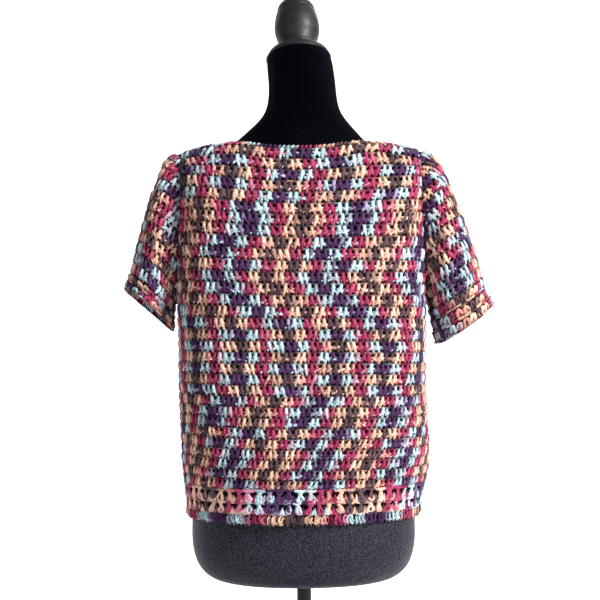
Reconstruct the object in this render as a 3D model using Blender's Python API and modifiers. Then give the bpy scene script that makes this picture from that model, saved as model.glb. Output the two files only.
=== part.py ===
"""Crochet bolero cardigan worn by a limbless dress form on a round stand. Metres, +Z up.

The origin is the middle of the stand's underside. The wearer faces +Y, so the cardigan's back faces -Y
and the wearer's right is +X. The cloth pieces are walls round one smooth mid-surface, which stays
WALL / 2 inside both faces, and neighbours are SEAM apart.
"""

import math
from collections import namedtuple

import bpy
import bmesh
import numpy as np
from mathutils import Matrix, Vector

# Cloth
WALL = 0.0035
SEAM = 0.0003
HEM_Z = 0.393
BAND_TOP_Z = 0.439
UNDERARM_Z = 0.687
EDGING_WIDTH = 0.008

# The body's level sections, from the hem to the underarm.
BodySection = namedtuple("BodySection", "height half_width side_shift back_depth front_depth squareness")
BODY_SECTIONS = [BodySection(*row) for row in (
    (HEM_Z, 0.1590, 0.0003, 0.1225, 0.1140, 2.15),
    (0.4160, 0.1612, 0.0012, 0.1240, 0.1155, 2.18),
    (BAND_TOP_Z, 0.1655, 0.0026, 0.1270, 0.1185, 2.25),
    (0.4620, 0.1693, 0.0036, 0.1315, 0.1235, 2.35),
    (0.4950, 0.1702, 0.0034, 0.1320, 0.1255, 2.50),
    (0.5400, 0.1695, 0.0014, 0.1265, 0.1240, 2.65),
    (0.6000, 0.1692, 0.0000, 0.1195, 0.1260, 2.85),
    (0.6500, 0.1695, 0.0000, 0.1150, 0.1305, 2.95),
    (UNDERARM_Z, 0.1705, 0.0000, 0.1135, 0.1320, 3.00),
)]

# Above the underarm the cloth leans over to the shoulder ridge, which falls away from the neck.
RIDGE_Z = 0.9145
RIDGE_DROP = 0.0155
RIDGE_DROP_AT = 0.163
RIDGE_DROP_POWER = 3.0
PROFILE_SQUARENESS = {"back": 2.6, "front": 2.2}

# The armhole reaches this share of the body's depth, and rounds off below as the power says.
ARMHOLE_SHARE = 0.44
ARMHOLE_ROUNDING = 3.0

# The neckline: where it meets the shoulder, and how far up the lean it lies at the middle.
NECK_HALF_WIDTH = 0.112
Neckline = namedtuple("Neckline", "share_at_middle power")
NECKLINES = {"back": Neckline(0.68, 3.0), "front": Neckline(0.42, 1.8)}
FRONT_EDGE_X = 0.038

# Soft folds in the body: a ridge, or a trough where the height is negative, down a bowed line.
Fold = namedtuple("Fold", "side top_z bottom_z top_x middle_x bottom_x reach height")
FOLDS = [Fold(*row) for row in (
    ("back", 0.690, 0.445, -0.008, -0.014, -0.078, 0.020, 0.0060),
    ("back", 0.700, 0.455, 0.022, 0.020, -0.030, 0.018, -0.0035),
    ("back", 0.640, 0.450, 0.092, 0.084, 0.050, 0.024, 0.0035),
    ("back", 0.720, 0.470, -0.098, -0.104, -0.122, 0.022, 0.0030),
    ("front", 0.700, 0.445, 0.082, 0.078, 0.070, 0.022, 0.0050),
    ("front", 0.690, 0.450, -0.086, -0.080, -0.066, 0.024, 0.0045),
    ("front", 0.660, 0.460, 0.118, 0.112, 0.104, 0.018, -0.0030),
)]
FOLD_FADE_POWER = 1.5

# The sleeves' rings: their upper and lower points, half-depths, how far the back is lifted and how far
# the front hangs down.
SleeveRing = namedtuple(
    "SleeveRing", "upper_x upper_z lower_x lower_z back_depth front_depth back_lift front_drop"
)
SLEEVE_RINGS = {
    "right": [SleeveRing(*row) for row in (
        (0.1790, 0.8950, 0.1755, 0.6910, 0.0520, 0.0570, 0.000, 0.000),
        (0.1900, 0.8865, 0.1790, 0.6850, 0.0560, 0.0600, 0.000, 0.000),
        (0.2035, 0.8600, 0.1798, 0.6800, 0.0600, 0.0630, 0.000, 0.000),
        (0.2145, 0.8320, 0.1805, 0.6765, 0.0630, 0.0650, 0.000, 0.000),
        (0.2245, 0.8040, 0.1812, 0.6735, 0.0645, 0.0660, 0.000, 0.000),
        (0.2350, 0.7760, 0.1819, 0.6705, 0.0655, 0.0665, -0.001, 0.000),
        (0.2435, 0.7480, 0.1827, 0.6675, 0.0655, 0.0665, -0.001, -0.001),
        (0.2530, 0.7080, 0.1838, 0.6630, 0.0645, 0.0655, -0.002, -0.002),
        (0.2600, 0.6955, 0.1866, 0.6470, 0.0640, 0.0650, -0.003, -0.002),
        (0.2660, 0.6840, 0.1892, 0.6295, 0.0635, 0.0645, -0.003, -0.002),
    )],
    "left": [SleeveRing(*row) for row in (
        (0.1785, 0.8945, 0.1755, 0.6910, 0.0520, 0.0570, 0.000, 0.000),
        (0.1880, 0.8865, 0.1785, 0.6860, 0.0560, 0.0600, 0.000, 0.000),
        (0.1988, 0.8600, 0.1790, 0.6830, 0.0600, 0.0630, 0.002, 0.001),
        (0.2100, 0.8320, 0.1794, 0.6805, 0.0625, 0.0645, 0.004, 0.002),
        (0.2175, 0.8040, 0.1798, 0.6785, 0.0640, 0.0655, 0.006, 0.003),
        (0.2255, 0.7760, 0.1802, 0.6765, 0.0645, 0.0660, 0.008, 0.004),
        (0.2325, 0.7480, 0.1806, 0.6745, 0.0645, 0.0660, 0.010, 0.005),
        (0.2372, 0.7280, 0.1810, 0.6720, 0.0635, 0.0650, 0.012, 0.006),
        (0.2420, 0.7165, 0.1812, 0.6620, 0.0625, 0.0640, 0.013, 0.006),
        (0.2460, 0.7065, 0.1815, 0.6500, 0.0620, 0.0635, 0.014, 0.006),
    )],
}
CUFF_RING = 7

# A twisted rim face is split by the same diagonal on both sides of a seam, ordered along this direction.
SPLIT_DIRECTION = Vector((0.4, 0.3, 1.0))

# The cosine past which a mitre grows no longer.
SHARPEST_BEND = -0.5

# The step, in around and row, over which the body's slope is measured.
SLOPE_STEP = 0.001

# How finely the cloth is divided.
NECK_STEPS = 14
SHOULDER_STEPS = 6
FRONT_NECK_STEPS = 6
LOWER_ROW_HEIGHTS = (0.450, 0.465, 0.485, 0.515, 0.560, 0.605, 0.650)
BAND_ROW_HEIGHTS = (HEM_Z, 0.416)
ARMHOLE_STEPS = 10

# The dress form's sections, from its domed underside to the top of its neck.
FormSection = namedtuple(
    "FormSection", "height half_width back_depth front_depth squareness centre_x centre_y tilt"
)
FORM_SECTIONS = [FormSection(*row) for row in (
    (0.3000, 0.0850, 0.0650, 0.0600, 2.2, 0.0000, 0.000, 0.0),
    (0.3020, 0.1085, 0.0830, 0.0760, 2.2, 0.0000, 0.000, 0.0),
    (0.3080, 0.1285, 0.0980, 0.0890, 2.2, 0.0000, 0.000, 0.0),
    (0.3200, 0.1430, 0.1085, 0.0985, 2.2, 0.0000, 0.000, 0.0),
    (0.3370, 0.1515, 0.1145, 0.1040, 2.2, 0.0000, 0.000, 0.0),
    (0.3600, 0.1555, 0.1180, 0.1080, 2.2, 0.0000, 0.000, 0.0),
    (0.3930, 0.1550, 0.1185, 0.1100, 2.2, 0.0000, 0.000, 0.0),
    (0.4200, 0.1520, 0.1160, 0.1090, 2.2, 0.0000, 0.000, 0.0),
    (0.4500, 0.1455, 0.1100, 0.1050, 2.2, 0.0000, 0.000, 0.0),
    (0.4850, 0.1340, 0.0990, 0.0960, 2.2, 0.0000, 0.000, 0.0),
    (0.5200, 0.1250, 0.0900, 0.0890, 2.2, 0.0000, 0.000, 0.0),
    (0.5550, 0.1230, 0.0870, 0.0880, 2.2, 0.0000, 0.000, 0.0),
    (0.6000, 0.1290, 0.0900, 0.0950, 2.2, 0.0000, 0.000, 0.0),
    (0.6500, 0.1400, 0.0970, 0.1110, 2.3, 0.0000, 0.000, 0.0),
    (0.7000, 0.1490, 0.1030, 0.1250, 2.3, 0.0000, 0.000, 0.0),
    (0.7400, 0.1535, 0.1060, 0.1265, 2.4, 0.0000, 0.000, 0.0),
    (0.7800, 0.1555, 0.1050, 0.1160, 2.5, 0.0000, 0.000, 0.0),
    (0.8200, 0.1560, 0.0975, 0.0980, 2.5, 0.0000, 0.000, 0.0),
    (0.8500, 0.1550, 0.0875, 0.0820, 2.4, 0.0000, 0.000, 0.0),
    (0.8750, 0.1520, 0.0740, 0.0680, 2.2, 0.0000, 0.000, 0.0),
    (0.8895, 0.1480, 0.0625, 0.0570, 2.0, 0.0000, 0.000, 0.0),
    (0.8970, 0.1390, 0.0535, 0.0470, 1.8, 0.0000, 0.000, 0.0),
    (0.9032, 0.1265, 0.0450, 0.0400, 1.6, 0.0000, 0.000, 0.0),
    (0.9070, 0.1040, 0.0440, 0.0400, 1.5, 0.0000, 0.000, 0.0),
    (0.9130, 0.0920, 0.0460, 0.0420, 1.5, 0.0000, 0.001, 0.0),
    (0.9280, 0.0760, 0.0485, 0.0440, 1.7, 0.0020, 0.002, 0.0),
    (0.9440, 0.0605, 0.0500, 0.0450, 2.0, 0.0035, 0.003, 0.02),
    (0.9580, 0.0520, 0.0480, 0.0460, 2.0, 0.0038, 0.004, 0.06),
    (0.9750, 0.0482, 0.0470, 0.0465, 2.0, 0.0038, 0.006, 0.14),
    (0.9970, 0.0468, 0.0465, 0.0465, 2.0, 0.0030, 0.008, 0.24),
    (1.0200, 0.0460, 0.0460, 0.0460, 2.0, 0.0005, 0.010, 0.33),
    (1.0310, 0.0440, 0.0440, 0.0440, 2.0, -0.0012, 0.0115, 0.36),
)]
FORM_SIDES = 32

# The neck's top slants down to the front, and by this share of that to its left. The cap and finial stand
# square to it, on its middle, NECK_TOP.
SIDE_SLANT = 0.12
NECK_TOP = Vector((FORM_SECTIONS[-1].centre_x, FORM_SECTIONS[-1].centre_y, FORM_SECTIONS[-1].height))
NECK_AXIS = Vector((-SIDE_SLANT * FORM_SECTIONS[-1].tilt, FORM_SECTIONS[-1].tilt, 1)).normalized()
TURNED_SIDES = 24
MERGE_DISTANCE = 0.0001
ProfilePoint = namedtuple("ProfilePoint", "radius height")
CAP_PROFILE = [ProfilePoint(*row) for row in (
    (0.0, 0.0155), (0.0200, 0.0155), (0.0310, 0.0142), (0.0385, 0.0110), (0.0424, 0.0070), (0.0438, 0.0030),
    (0.0438, 0.0005), (0.0428, 0.0), (0.0, 0.0),
)]
FINIAL_PROFILE = [ProfilePoint(*row) for row in (
    (0.0, 0.0960), (0.0070, 0.0948), (0.0120, 0.0910), (0.0135, 0.0865), (0.0120, 0.0820), (0.0095, 0.0790),
    (0.0115, 0.0768), (0.0175, 0.0740), (0.0225, 0.0700), (0.0255, 0.0650), (0.0268, 0.0612), (0.0262, 0.0598),
    (0.0285, 0.0540), (0.0308, 0.0440), (0.0320, 0.0335), (0.0313, 0.0240), (0.0290, 0.0155), (0.0270, 0.0080),
    (0.0250, 0.0), (0.0, 0.0),
)]

# Stand
BASE_RADIUS = 0.160
BASE_THICKNESS = 0.010
BASE_BEVEL = 0.003
POLE_RADIUS = 0.010
POLE_SIDES = 24
BASE_SIDES = 48

# Edges between faces that turn more than this are drawn sharp.
SHARP_EDGE = math.radians(40)

Look = namedtuple("Look", "red green blue roughness metallic")
LOOKS = {
    "crochet_body": Look(0.42, 0.16, 0.22, 0.90, 0.0),
    "crochet_sleeves": Look(0.36, 0.13, 0.24, 0.90, 0.0),
    "crochet_trim": Look(0.40, 0.22, 0.24, 0.90, 0.0),
    "form_jersey": Look(0.020, 0.020, 0.026, 0.85, 0.0),
    "painted_wood": Look(0.030, 0.030, 0.030, 0.35, 0.0),
    "black_steel": Look(0.012, 0.012, 0.012, 0.45, 0.6),
}


def clear_scene():
    for old in list(bpy.data.objects):
        bpy.data.objects.remove(old, do_unlink=True)


def make_collection(name):
    collection = bpy.data.collections.new(name)
    bpy.context.scene.collection.children.link(collection)
    return collection


def make_materials():
    made = {}
    for name, look in LOOKS.items():
        material = bpy.data.materials.new(name)
        material.use_nodes = True
        shader = material.node_tree.nodes["Principled BSDF"]
        shader.inputs["Base Color"].default_value = (look.red, look.green, look.blue, 1.0)
        shader.inputs["Roughness"].default_value = look.roughness
        shader.inputs["Metallic"].default_value = look.metallic
        made[name] = material
    return made


def smooth(table, column, height):
    """A smooth curve through one column of a table, read at a height."""
    keys = [row.height for row in table]
    values = [getattr(row, column) for row in table]
    slopes = np.gradient(values, keys)
    i = min(max(int(np.searchsorted(keys, height)) - 1, 0), len(keys) - 2)
    span = keys[i + 1] - keys[i]
    t = (height - keys[i]) / span
    return (
        values[i] * (1 + 2 * t) * (1 - t) ** 2
        + values[i + 1] * t * t * (3 - 2 * t)
        + span * t * (1 - t) * (slopes[i] * (1 - t) - slopes[i + 1] * t)
    )


def superellipse(squareness, angle):
    """The unit curve's point in a direction, as its parts along the angle's start and across it."""
    along, across = math.cos(angle), math.sin(angle)
    reach = (abs(along) ** squareness + abs(across) ** squareness) ** (-1 / squareness)
    return reach * along, reach * across


def ridge_z(x):
    return RIDGE_Z - RIDGE_DROP * (abs(x) / RIDGE_DROP_AT) ** RIDGE_DROP_POWER


def body_section(z):
    return BodySection(*[smooth(BODY_SECTIONS, column, z) for column in BodySection._fields])


def depth(section, side):
    return section.back_depth if side == "back" else section.front_depth


UNDERARM = body_section(UNDERARM_Z)


def armhole_angle(share):
    """The direction of the armhole's edge in a level section, by the share of its height."""
    deep = ARMHOLE_SHARE * math.sqrt(1 - (1 - share) ** ARMHOLE_ROUNDING)
    wide = (1 - deep ** UNDERARM.squareness) ** (1 / UNDERARM.squareness)
    return math.atan2(wide, deep)


def around_at(x, half_width, squareness, widest_angle):
    """The around value, from -1 to 1, at which a section reaches x."""
    share = abs(x) / half_width
    angle = math.atan2(share, (1 - share ** squareness) ** (1 / squareness))
    return math.copysign(angle / widest_angle, x)


NECK_AROUND = around_at(NECK_HALF_WIDTH, UNDERARM.half_width, UNDERARM.squareness, armhole_angle(1.0))


def top_share(side, around):
    """How far up the lean to the ridge the cloth goes: all the way, except at the neckline."""
    neckline = NECKLINES[side]
    nearness = min(abs(around) / NECK_AROUND, 1.0)
    return 1 - (1 - neckline.share_at_middle) * (1 - nearness ** neckline.power)


def fold_height(side, x, z):
    total = 0.0
    for fold in FOLDS:
        if fold.side != side or not fold.bottom_z < z < fold.top_z:
            continue
        down = (fold.top_z - z) / (fold.top_z - fold.bottom_z)
        up = 1 - down
        line_x = fold.top_x * up ** 2 + 2 * fold.middle_x * down * up + fold.bottom_x * down ** 2
        fade = math.sin(math.pi * down) ** FOLD_FADE_POWER
        total += fold.height * fade * math.exp(-(((x - line_x) / fold.reach) ** 2))
    return total


def body_point(side, around, row):
    """The body's mid-surface. around runs from -1 at the wearer's left edge to 1 at the right edge.
    row runs from -1 at the hem, through 0 at the underarm, to 1 at the neckline or the shoulder."""
    outward = -1 if side == "back" else 1
    if row <= 0:
        z = UNDERARM_Z + row * (UNDERARM_Z - HEM_Z)
        section = body_section(z)
        deep, wide = superellipse(section.squareness, around * math.pi / 2)
        x = section.side_shift + section.half_width * wide
        y = depth(section, side) * deep
    else:
        share = math.sin(row * math.pi / 2) ** 2
        squareness = PROFILE_SQUARENESS[side]
        deep, wide = superellipse(UNDERARM.squareness, around * armhole_angle(share))
        x = UNDERARM.half_width * wide
        at_edge = math.atan2(share, (1 - share ** squareness) ** (1 / squareness))
        out, up = superellipse(squareness, at_edge * top_share(side, around))
        y = depth(UNDERARM, side) * deep * out
        z = UNDERARM_Z + (ridge_z(x) - UNDERARM_Z) * up
    return Vector((x, outward * (y + fold_height(side, x, z)), z))


def body_normal(side, around, row):
    """The body's outward normal, square to the seam line where back and front meet."""
    right, left = min(around + SLOPE_STEP, 1), max(around - SLOPE_STEP, -1)
    upper, lower = min(row + SLOPE_STEP, 1), max(row - SLOPE_STEP, -1)
    across = body_point(side, right, row) - body_point(side, left, row)
    along = body_point(side, around, upper) - body_point(side, around, lower)
    normal = across.cross(along) if side == "back" else along.cross(across)
    on_side_seam = abs(around) > 1 - SLOPE_STEP and row < SLOPE_STEP
    on_shoulder_seam = row > 1 - SLOPE_STEP and abs(around) > NECK_AROUND - SLOPE_STEP
    if on_side_seam or on_shoulder_seam:
        normal.y = 0
    return normal.normalized()


def row_at_height(z):
    return (z - UNDERARM_Z) / (UNDERARM_Z - HEM_Z)


def front_edge_around(row):
    """Where the front's opening edge lies at a row."""
    if row <= 0:
        section = body_section(UNDERARM_Z + row * (UNDERARM_Z - HEM_Z))
        return around_at(FRONT_EDGE_X, section.half_width, section.squareness, math.pi / 2)
    widest = armhole_angle(math.sin(row * math.pi / 2) ** 2)
    return around_at(FRONT_EDGE_X, UNDERARM.half_width, UNDERARM.squareness, widest)


def spaced(start, end, steps):
    return [start + (end - start) * i / steps for i in range(steps + 1)]


def back_columns():
    left = spaced(-1, -NECK_AROUND, SHOULDER_STEPS)
    middle = spaced(-NECK_AROUND, NECK_AROUND, NECK_STEPS)
    right = spaced(NECK_AROUND, 1, SHOULDER_STEPS)
    return left[:-1] + middle + right[1:]


def front_columns(row):
    """From the opening edge to the side, on the wearer's right. The left front mirrors them."""
    near = spaced(front_edge_around(row), NECK_AROUND, FRONT_NECK_STEPS)
    return near + spaced(NECK_AROUND, 1, SHOULDER_STEPS)[1:]


def panel_rows():
    lower = [row_at_height(BAND_TOP_Z + SEAM / 2)] + [row_at_height(z) for z in LOWER_ROW_HEIGHTS]
    return lower + spaced(0, 1, ARMHOLE_STEPS)


def band_rows():
    return [row_at_height(z) for z in BAND_ROW_HEIGHTS] + [row_at_height(BAND_TOP_Z - SEAM / 2)]


def offset_from_seam(side, around, row):
    """Back and front each stop half a seam short of the line where they meet."""
    outward = -1 if side == "back" else 1
    return body_point(side, around, row) + Vector((0, outward * SEAM / 2, 0))


def add_rim(mesh, start, end):
    """One step of a rim, from an (outer, inner) pair to the next. Both sides of a seam split the step
    along the same diagonal, so that twisted rims stay parallel."""
    if start[0].co.dot(SPLIT_DIRECTION) > end[0].co.dot(SPLIT_DIRECTION):
        start, end = end, start
    mesh.faces.new((start[0], start[1], end[1]))
    mesh.faces.new((start[0], end[1], end[0]))


def wall_object(name, points, offsets, material, collection, closed=False):
    """A wall of even thickness round a grid of points: its two faces, and a rim along each open edge.
    An offset is the way from the wall's middle to its face, as a share of half the wall."""
    rows, columns = len(points), len(points[0])
    mesh = bmesh.new()
    faces = []
    for sign in (0.5, -0.5):
        faces.append([[mesh.verts.new(point + way * (WALL * sign)) for point, way in zip(*line)]
                      for line in zip(points, offsets)])
    outer, inner = faces
    steps = columns if closed else columns - 1
    for i in range(rows - 1):
        for j in range(steps):
            k = (j + 1) % columns
            for face in faces:
                mesh.faces.new((face[i][j], face[i][k], face[i + 1][k], face[i + 1][j]))
    for i in (0, rows - 1):
        for j in range(steps):
            k = (j + 1) % columns
            add_rim(mesh, (outer[i][j], inner[i][j]), (outer[i][k], inner[i][k]))
    if not closed:
        for j in (0, columns - 1):
            for i in range(rows - 1):
                add_rim(mesh, (outer[i][j], inner[i][j]), (outer[i + 1][j], inner[i + 1][j]))
    return finish_object(name, mesh, material, collection)


def finish_object(name, mesh, material, collection):
    """Turns a bmesh into a named object with smooth faces that point outwards."""
    bmesh.ops.recalc_face_normals(mesh, faces=mesh.faces)
    data = bpy.data.meshes.new(name)
    mesh.to_mesh(data)
    mesh.free()
    data.materials.append(material)
    data.shade_smooth()
    data.set_sharp_from_angle(angle=SHARP_EDGE)
    made = bpy.data.objects.new(name, data)
    collection.objects.link(made)
    return made


def make_back(material, collection):
    rows, columns = panel_rows(), back_columns()
    points = [[offset_from_seam("back", around, row) for around in columns] for row in rows]
    normals = [[body_normal("back", around, row) for around in columns] for row in rows]
    yoke = normals[-ARMHOLE_STEPS - 1:]
    for line, left, right in zip(yoke, armhole_offsets("back", -1), armhole_offsets("back", 1)):
        line[0], line[-1] = left, right
    wall_object("back_panel", points, normals, material, collection)


def make_fronts(material, collection):
    rows = panel_rows()
    for name, hand in (("front_right", 1), ("front_left", -1)):
        columns = [[hand * around for around in front_columns(row)] for row in rows]
        points = [[offset_from_seam("front", a, row) for a in line] for row, line in zip(rows, columns)]
        normals = [[body_normal("front", a, row) for a in line] for row, line in zip(rows, columns)]
        for line, offset in zip(normals[-ARMHOLE_STEPS - 1:], armhole_offsets("front", hand)):
            line[-1] = offset
        wall_object(name, points, normals, material, collection)


def make_hem_band(material, collection):
    """One strip from the left front's edge, round the back, to the right front's edge."""
    points, normals = [], []
    for row in band_rows():
        front = front_columns(row)
        left = [("front", -around) for around in front]
        right = [("front", around) for around in reversed(front)]
        path = left[:-1] + [("back", around) for around in back_columns()] + right[1:]
        points.append([body_point(side, around, row) for side, around in path])
        normals.append([body_normal(side, around, row) for side, around in path])
    wall_object("hem_band", points, normals, material, collection)


def edging_path():
    """The edge that the edging is worked on: up the left front, round the neck, down the right front."""
    rows = band_rows()[:-1] + [row_at_height(BAND_TOP_Z)] + panel_rows()[1:]
    front_edge = [(row, front_edge_around(row)) for row in rows]
    neckline = [(1.0, around) for around in front_columns(1.0)[1:FRONT_NECK_STEPS + 1]]
    half = [("front", around, row) for row, around in front_edge + neckline]
    back = [("back", around, 1.0) for around in spaced(-NECK_AROUND, NECK_AROUND, NECK_STEPS)]
    left = [(side, -around, row) for side, around, row in half]
    return left[:-1] + back + list(reversed(half))[1:]


def make_edging(material, collection):
    path = edging_path()
    edge = [body_point(*station) for station in path]
    normals = [body_normal(*station) for station in path]
    near, far = [], []
    for i, (point, normal) in enumerate(zip(edge, normals)):
        before = (point - edge[max(i - 1, 0)]).normalized()
        after = (edge[min(i + 1, len(edge) - 1)] - point).normalized()
        along = (before + after).normalized()
        outwards = normal.cross(along).normalized()
        near.append(point + outwards * SEAM)
        far.append(point + outwards * (SEAM + EDGING_WIDTH))
    wall_object("neck_edging", [near, far], [normals, normals], material, collection)


def armhole_stations():
    """Up the armhole's back edge and down its front, with each station's turn round the sleeve."""
    rows = spaced(0, 1, ARMHOLE_STEPS)
    back = [("back", row, math.pi * (1 - row)) for row in rows]
    front = [("front", row, math.pi * (row - 1)) for row in reversed(rows[1:-1])]
    return back + front


def sleeve_ring(ring, hand):
    """A slanted oval between a ring's upper and lower points. A turn is 0 at the upper point."""
    upper = Vector((hand * ring.upper_x, 0, ring.upper_z))
    lower = Vector((hand * ring.lower_x, 0, ring.lower_z))
    points = []
    for side, _, turn in armhole_stations():
        across = abs(math.sin(turn))
        if side == "back":
            bulge = Vector((0, -ring.back_depth, ring.back_lift))
        else:
            bulge = Vector((0, ring.front_depth, -ring.front_drop))
        points.append(upper.lerp(lower, (1 - math.cos(turn)) / 2) + bulge * across)
    return points


def strip_normals(ring, following, hand):
    """Outward normals of the strip between two rings, at each of its stations."""
    found = []
    for j in range(len(ring)):
        around = ring[(j + 1) % len(ring)] - ring[j - 1]
        found.append(around.cross(following[j] - ring[j]).normalized() * -hand)
    return found


def mitre(first, second):
    """The offset direction at a bend between two faces, as long as both faces' even thickness needs."""
    return (first + second) / (1 + max(first.dot(second), SHARPEST_BEND))


def armhole_ring(hand):
    """The armhole's points on the body and the mitred offsets that the body and the sleeve share there."""
    side_name = "right" if hand > 0 else "left"
    stations = armhole_stations()
    points = [body_point(side, hand, row) for side, row, _ in stations]
    sleeve_side = strip_normals(points, sleeve_ring(SLEEVE_RINGS[side_name][0], hand), hand)
    offsets = []
    for (side, row, _), sleeve_normal in zip(stations, sleeve_side):
        if row in (0, 1):
            sleeve_normal.y = 0
        offsets.append(mitre(body_normal(side, hand, row), sleeve_normal.normalized()))
    return points, offsets


def armhole_offsets(side, hand):
    """The shared offsets by row, for a panel's edge at its armhole."""
    _, offsets = armhole_ring(hand)
    if side == "back":
        return offsets[:ARMHOLE_STEPS + 1]
    return [offsets[0]] + list(reversed(offsets[ARMHOLE_STEPS:]))


def sleeve_start(hand):
    """The sleeve's first ring, a seam's width off the armhole."""
    points, offsets = armhole_ring(hand)
    moved = []
    for i, (point, offset) in enumerate(zip(points, offsets)):
        along = points[(i + 1) % len(points)] - points[i - 1]
        moved.append(point + offset.cross(along).normalized() * (-hand * SEAM))
    return moved, offsets


def split_rings(rings, offsets, at):
    """The rings before and after a seam that is cut at one ring."""
    towards = [(later - earlier).normalized() for earlier, later in zip(rings[at - 1], rings[at + 1])]
    upper = [point - way * (SEAM / 2) for point, way in zip(rings[at], towards)]
    lower = [point + way * (SEAM / 2) for point, way in zip(rings[at], towards)]
    return (rings[:at] + [upper], offsets[:at + 1]), ([lower] + rings[at + 1:], offsets[at:])


def make_sleeves(sleeve_material, cuff_material, collection):
    for name, hand in (("right", 1), ("left", -1)):
        start, start_offsets = sleeve_start(hand)
        rings = [start] + [sleeve_ring(ring, hand) for ring in SLEEVE_RINGS[name]]
        strips = [strip_normals(ring, following, hand) for ring, following in zip(rings, rings[1:])]
        offsets = [start_offsets]
        for before, after in zip(strips, strips[1:]):
            offsets.append([mitre(first, second) for first, second in zip(before, after)])
        offsets.append(strips[-1])
        sleeve, cuff = split_rings(rings, offsets, CUFF_RING + 1)
        wall_object("sleeve_" + name, *sleeve, sleeve_material, collection, closed=True)
        wall_object("cuff_" + name, *cuff, cuff_material, collection, closed=True)


def form_ring(section):
    ring = []
    for i in range(FORM_SIDES):
        wide, deep = superellipse(section.squareness, 2 * math.pi * i / FORM_SIDES)
        y = deep * depth(section, "front" if deep > 0 else "back")
        x = section.half_width * wide
        drop = section.tilt * (y - SIDE_SLANT * x)
        ring.append(Vector((section.centre_x + x, section.centre_y + y, section.height - drop)))
    return ring


def make_form(material, collection):
    """A solid loft through the sections, closed by its flat underside and the neck's flat top."""
    mesh = bmesh.new()
    rings = [[mesh.verts.new(point) for point in form_ring(section)] for section in FORM_SECTIONS]
    for lower, upper in zip(rings, rings[1:]):
        for i in range(FORM_SIDES):
            k = (i + 1) % FORM_SIDES
            mesh.faces.new((lower[i], lower[k], upper[k], upper[i]))
    mesh.faces.new(list(reversed(rings[0])))
    mesh.faces.new(rings[-1])
    finish_object("form_torso", mesh, material, collection)


def turned_object(name, profile, lift, material, collection):
    """A profile turned about the neck's tilted axis."""
    mesh = bpy.data.meshes.new(name)
    edges = [(i, i + 1) for i in range(len(profile) - 1)]
    mesh.from_pydata([(point.radius, 0, point.height) for point in profile], edges, [])
    mesh.materials.append(material)
    made = bpy.data.objects.new(name, mesh)
    collection.objects.link(made)
    screw = made.modifiers.new("turn", "SCREW")
    screw.steps = screw.render_steps = TURNED_SIDES
    screw.use_merge_vertices = True
    screw.merge_threshold = MERGE_DISTANCE
    screw.use_smooth_shade = True
    tilt = Vector((0, 0, 1)).rotation_difference(NECK_AXIS).to_matrix().to_4x4()
    made.matrix_world = Matrix.Translation(NECK_TOP) @ tilt @ Matrix.Translation((0, 0, lift))
    return made


def make_neck_top(material, collection):
    cap_height = CAP_PROFILE[0].height
    turned_object("neck_cap", CAP_PROFILE, SEAM, material, collection)
    turned_object("finial", FINIAL_PROFILE, 2 * SEAM + cap_height, material, collection)


def cylinder_object(name, radius, bottom_z, top_z, sides, material, collection):
    bpy.ops.mesh.primitive_cylinder_add(
        vertices=sides, radius=radius, depth=top_z - bottom_z, location=(0, 0, (bottom_z + top_z) / 2)
    )
    made = bpy.context.object
    made.name = made.data.name = name
    made.data.materials.append(material)
    for linked in list(made.users_collection):
        linked.objects.unlink(made)
    collection.objects.link(made)
    made.data.shade_smooth()
    made.data.set_sharp_from_angle(angle=SHARP_EDGE)
    return made


def make_stand(material, collection):
    base = cylinder_object("stand_base", BASE_RADIUS, 0, BASE_THICKNESS, BASE_SIDES, material, collection)
    bevel = base.modifiers.new("edges", "BEVEL")
    bevel.width = BASE_BEVEL
    bevel.segments = 2
    pole_bottom = BASE_THICKNESS + SEAM
    pole_top = FORM_SECTIONS[0].height - SEAM
    cylinder_object("stand_pole", POLE_RADIUS, pole_bottom, pole_top, POLE_SIDES, material, collection)


def main():
    clear_scene()
    collection = make_collection("crochet_bolero_on_form")
    materials = make_materials()
    make_back(materials["crochet_body"], collection)
    make_fronts(materials["crochet_body"], collection)
    make_sleeves(materials["crochet_sleeves"], materials["crochet_trim"], collection)
    make_hem_band(materials["crochet_trim"], collection)
    make_edging(materials["crochet_trim"], collection)
    make_form(materials["form_jersey"], collection)
    make_neck_top(materials["painted_wood"], collection)
    make_stand(materials["black_steel"], collection)


main()
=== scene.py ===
"""Crochet bolero cardigan in space-dyed yarn on a black limbless dress form, seen from behind.

The cloth's surfaces are the same functions of the same named tables as the CAD source. Crochet stitches,
each a few loops of yarn, are laid over them row by row, in front of thin sheets that show painted shade in
the gaps between them. The stitches' colours carry painted shade and painted highlight.
"""

import math
from collections import namedtuple

import bpy
import numpy as np
from mathutils import Matrix, Vector
from mathutils.kdtree import KDTree


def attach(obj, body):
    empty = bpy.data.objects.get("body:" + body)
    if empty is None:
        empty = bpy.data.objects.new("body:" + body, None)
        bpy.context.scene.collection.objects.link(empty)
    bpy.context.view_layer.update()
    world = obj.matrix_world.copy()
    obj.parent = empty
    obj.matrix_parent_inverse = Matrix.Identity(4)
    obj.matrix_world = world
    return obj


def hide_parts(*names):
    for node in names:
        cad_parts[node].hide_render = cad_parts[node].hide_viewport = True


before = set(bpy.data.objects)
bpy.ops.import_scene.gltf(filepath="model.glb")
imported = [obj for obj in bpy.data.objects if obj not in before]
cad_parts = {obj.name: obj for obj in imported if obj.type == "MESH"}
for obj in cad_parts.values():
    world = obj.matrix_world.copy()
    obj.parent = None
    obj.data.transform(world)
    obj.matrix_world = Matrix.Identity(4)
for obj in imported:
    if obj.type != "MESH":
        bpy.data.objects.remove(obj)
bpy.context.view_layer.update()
rng = np.random.default_rng(7)

# ---------------------------------------------------------------- camera

CAMERA_DISTANCE = 2.4
METRES_ACROSS = 0.84
CAMERA_HEIGHT = 0.692
CAMERA_X = -0.0022
CAMERA_ROLL = math.radians(0.5)
SENSOR = 36.0


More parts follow.
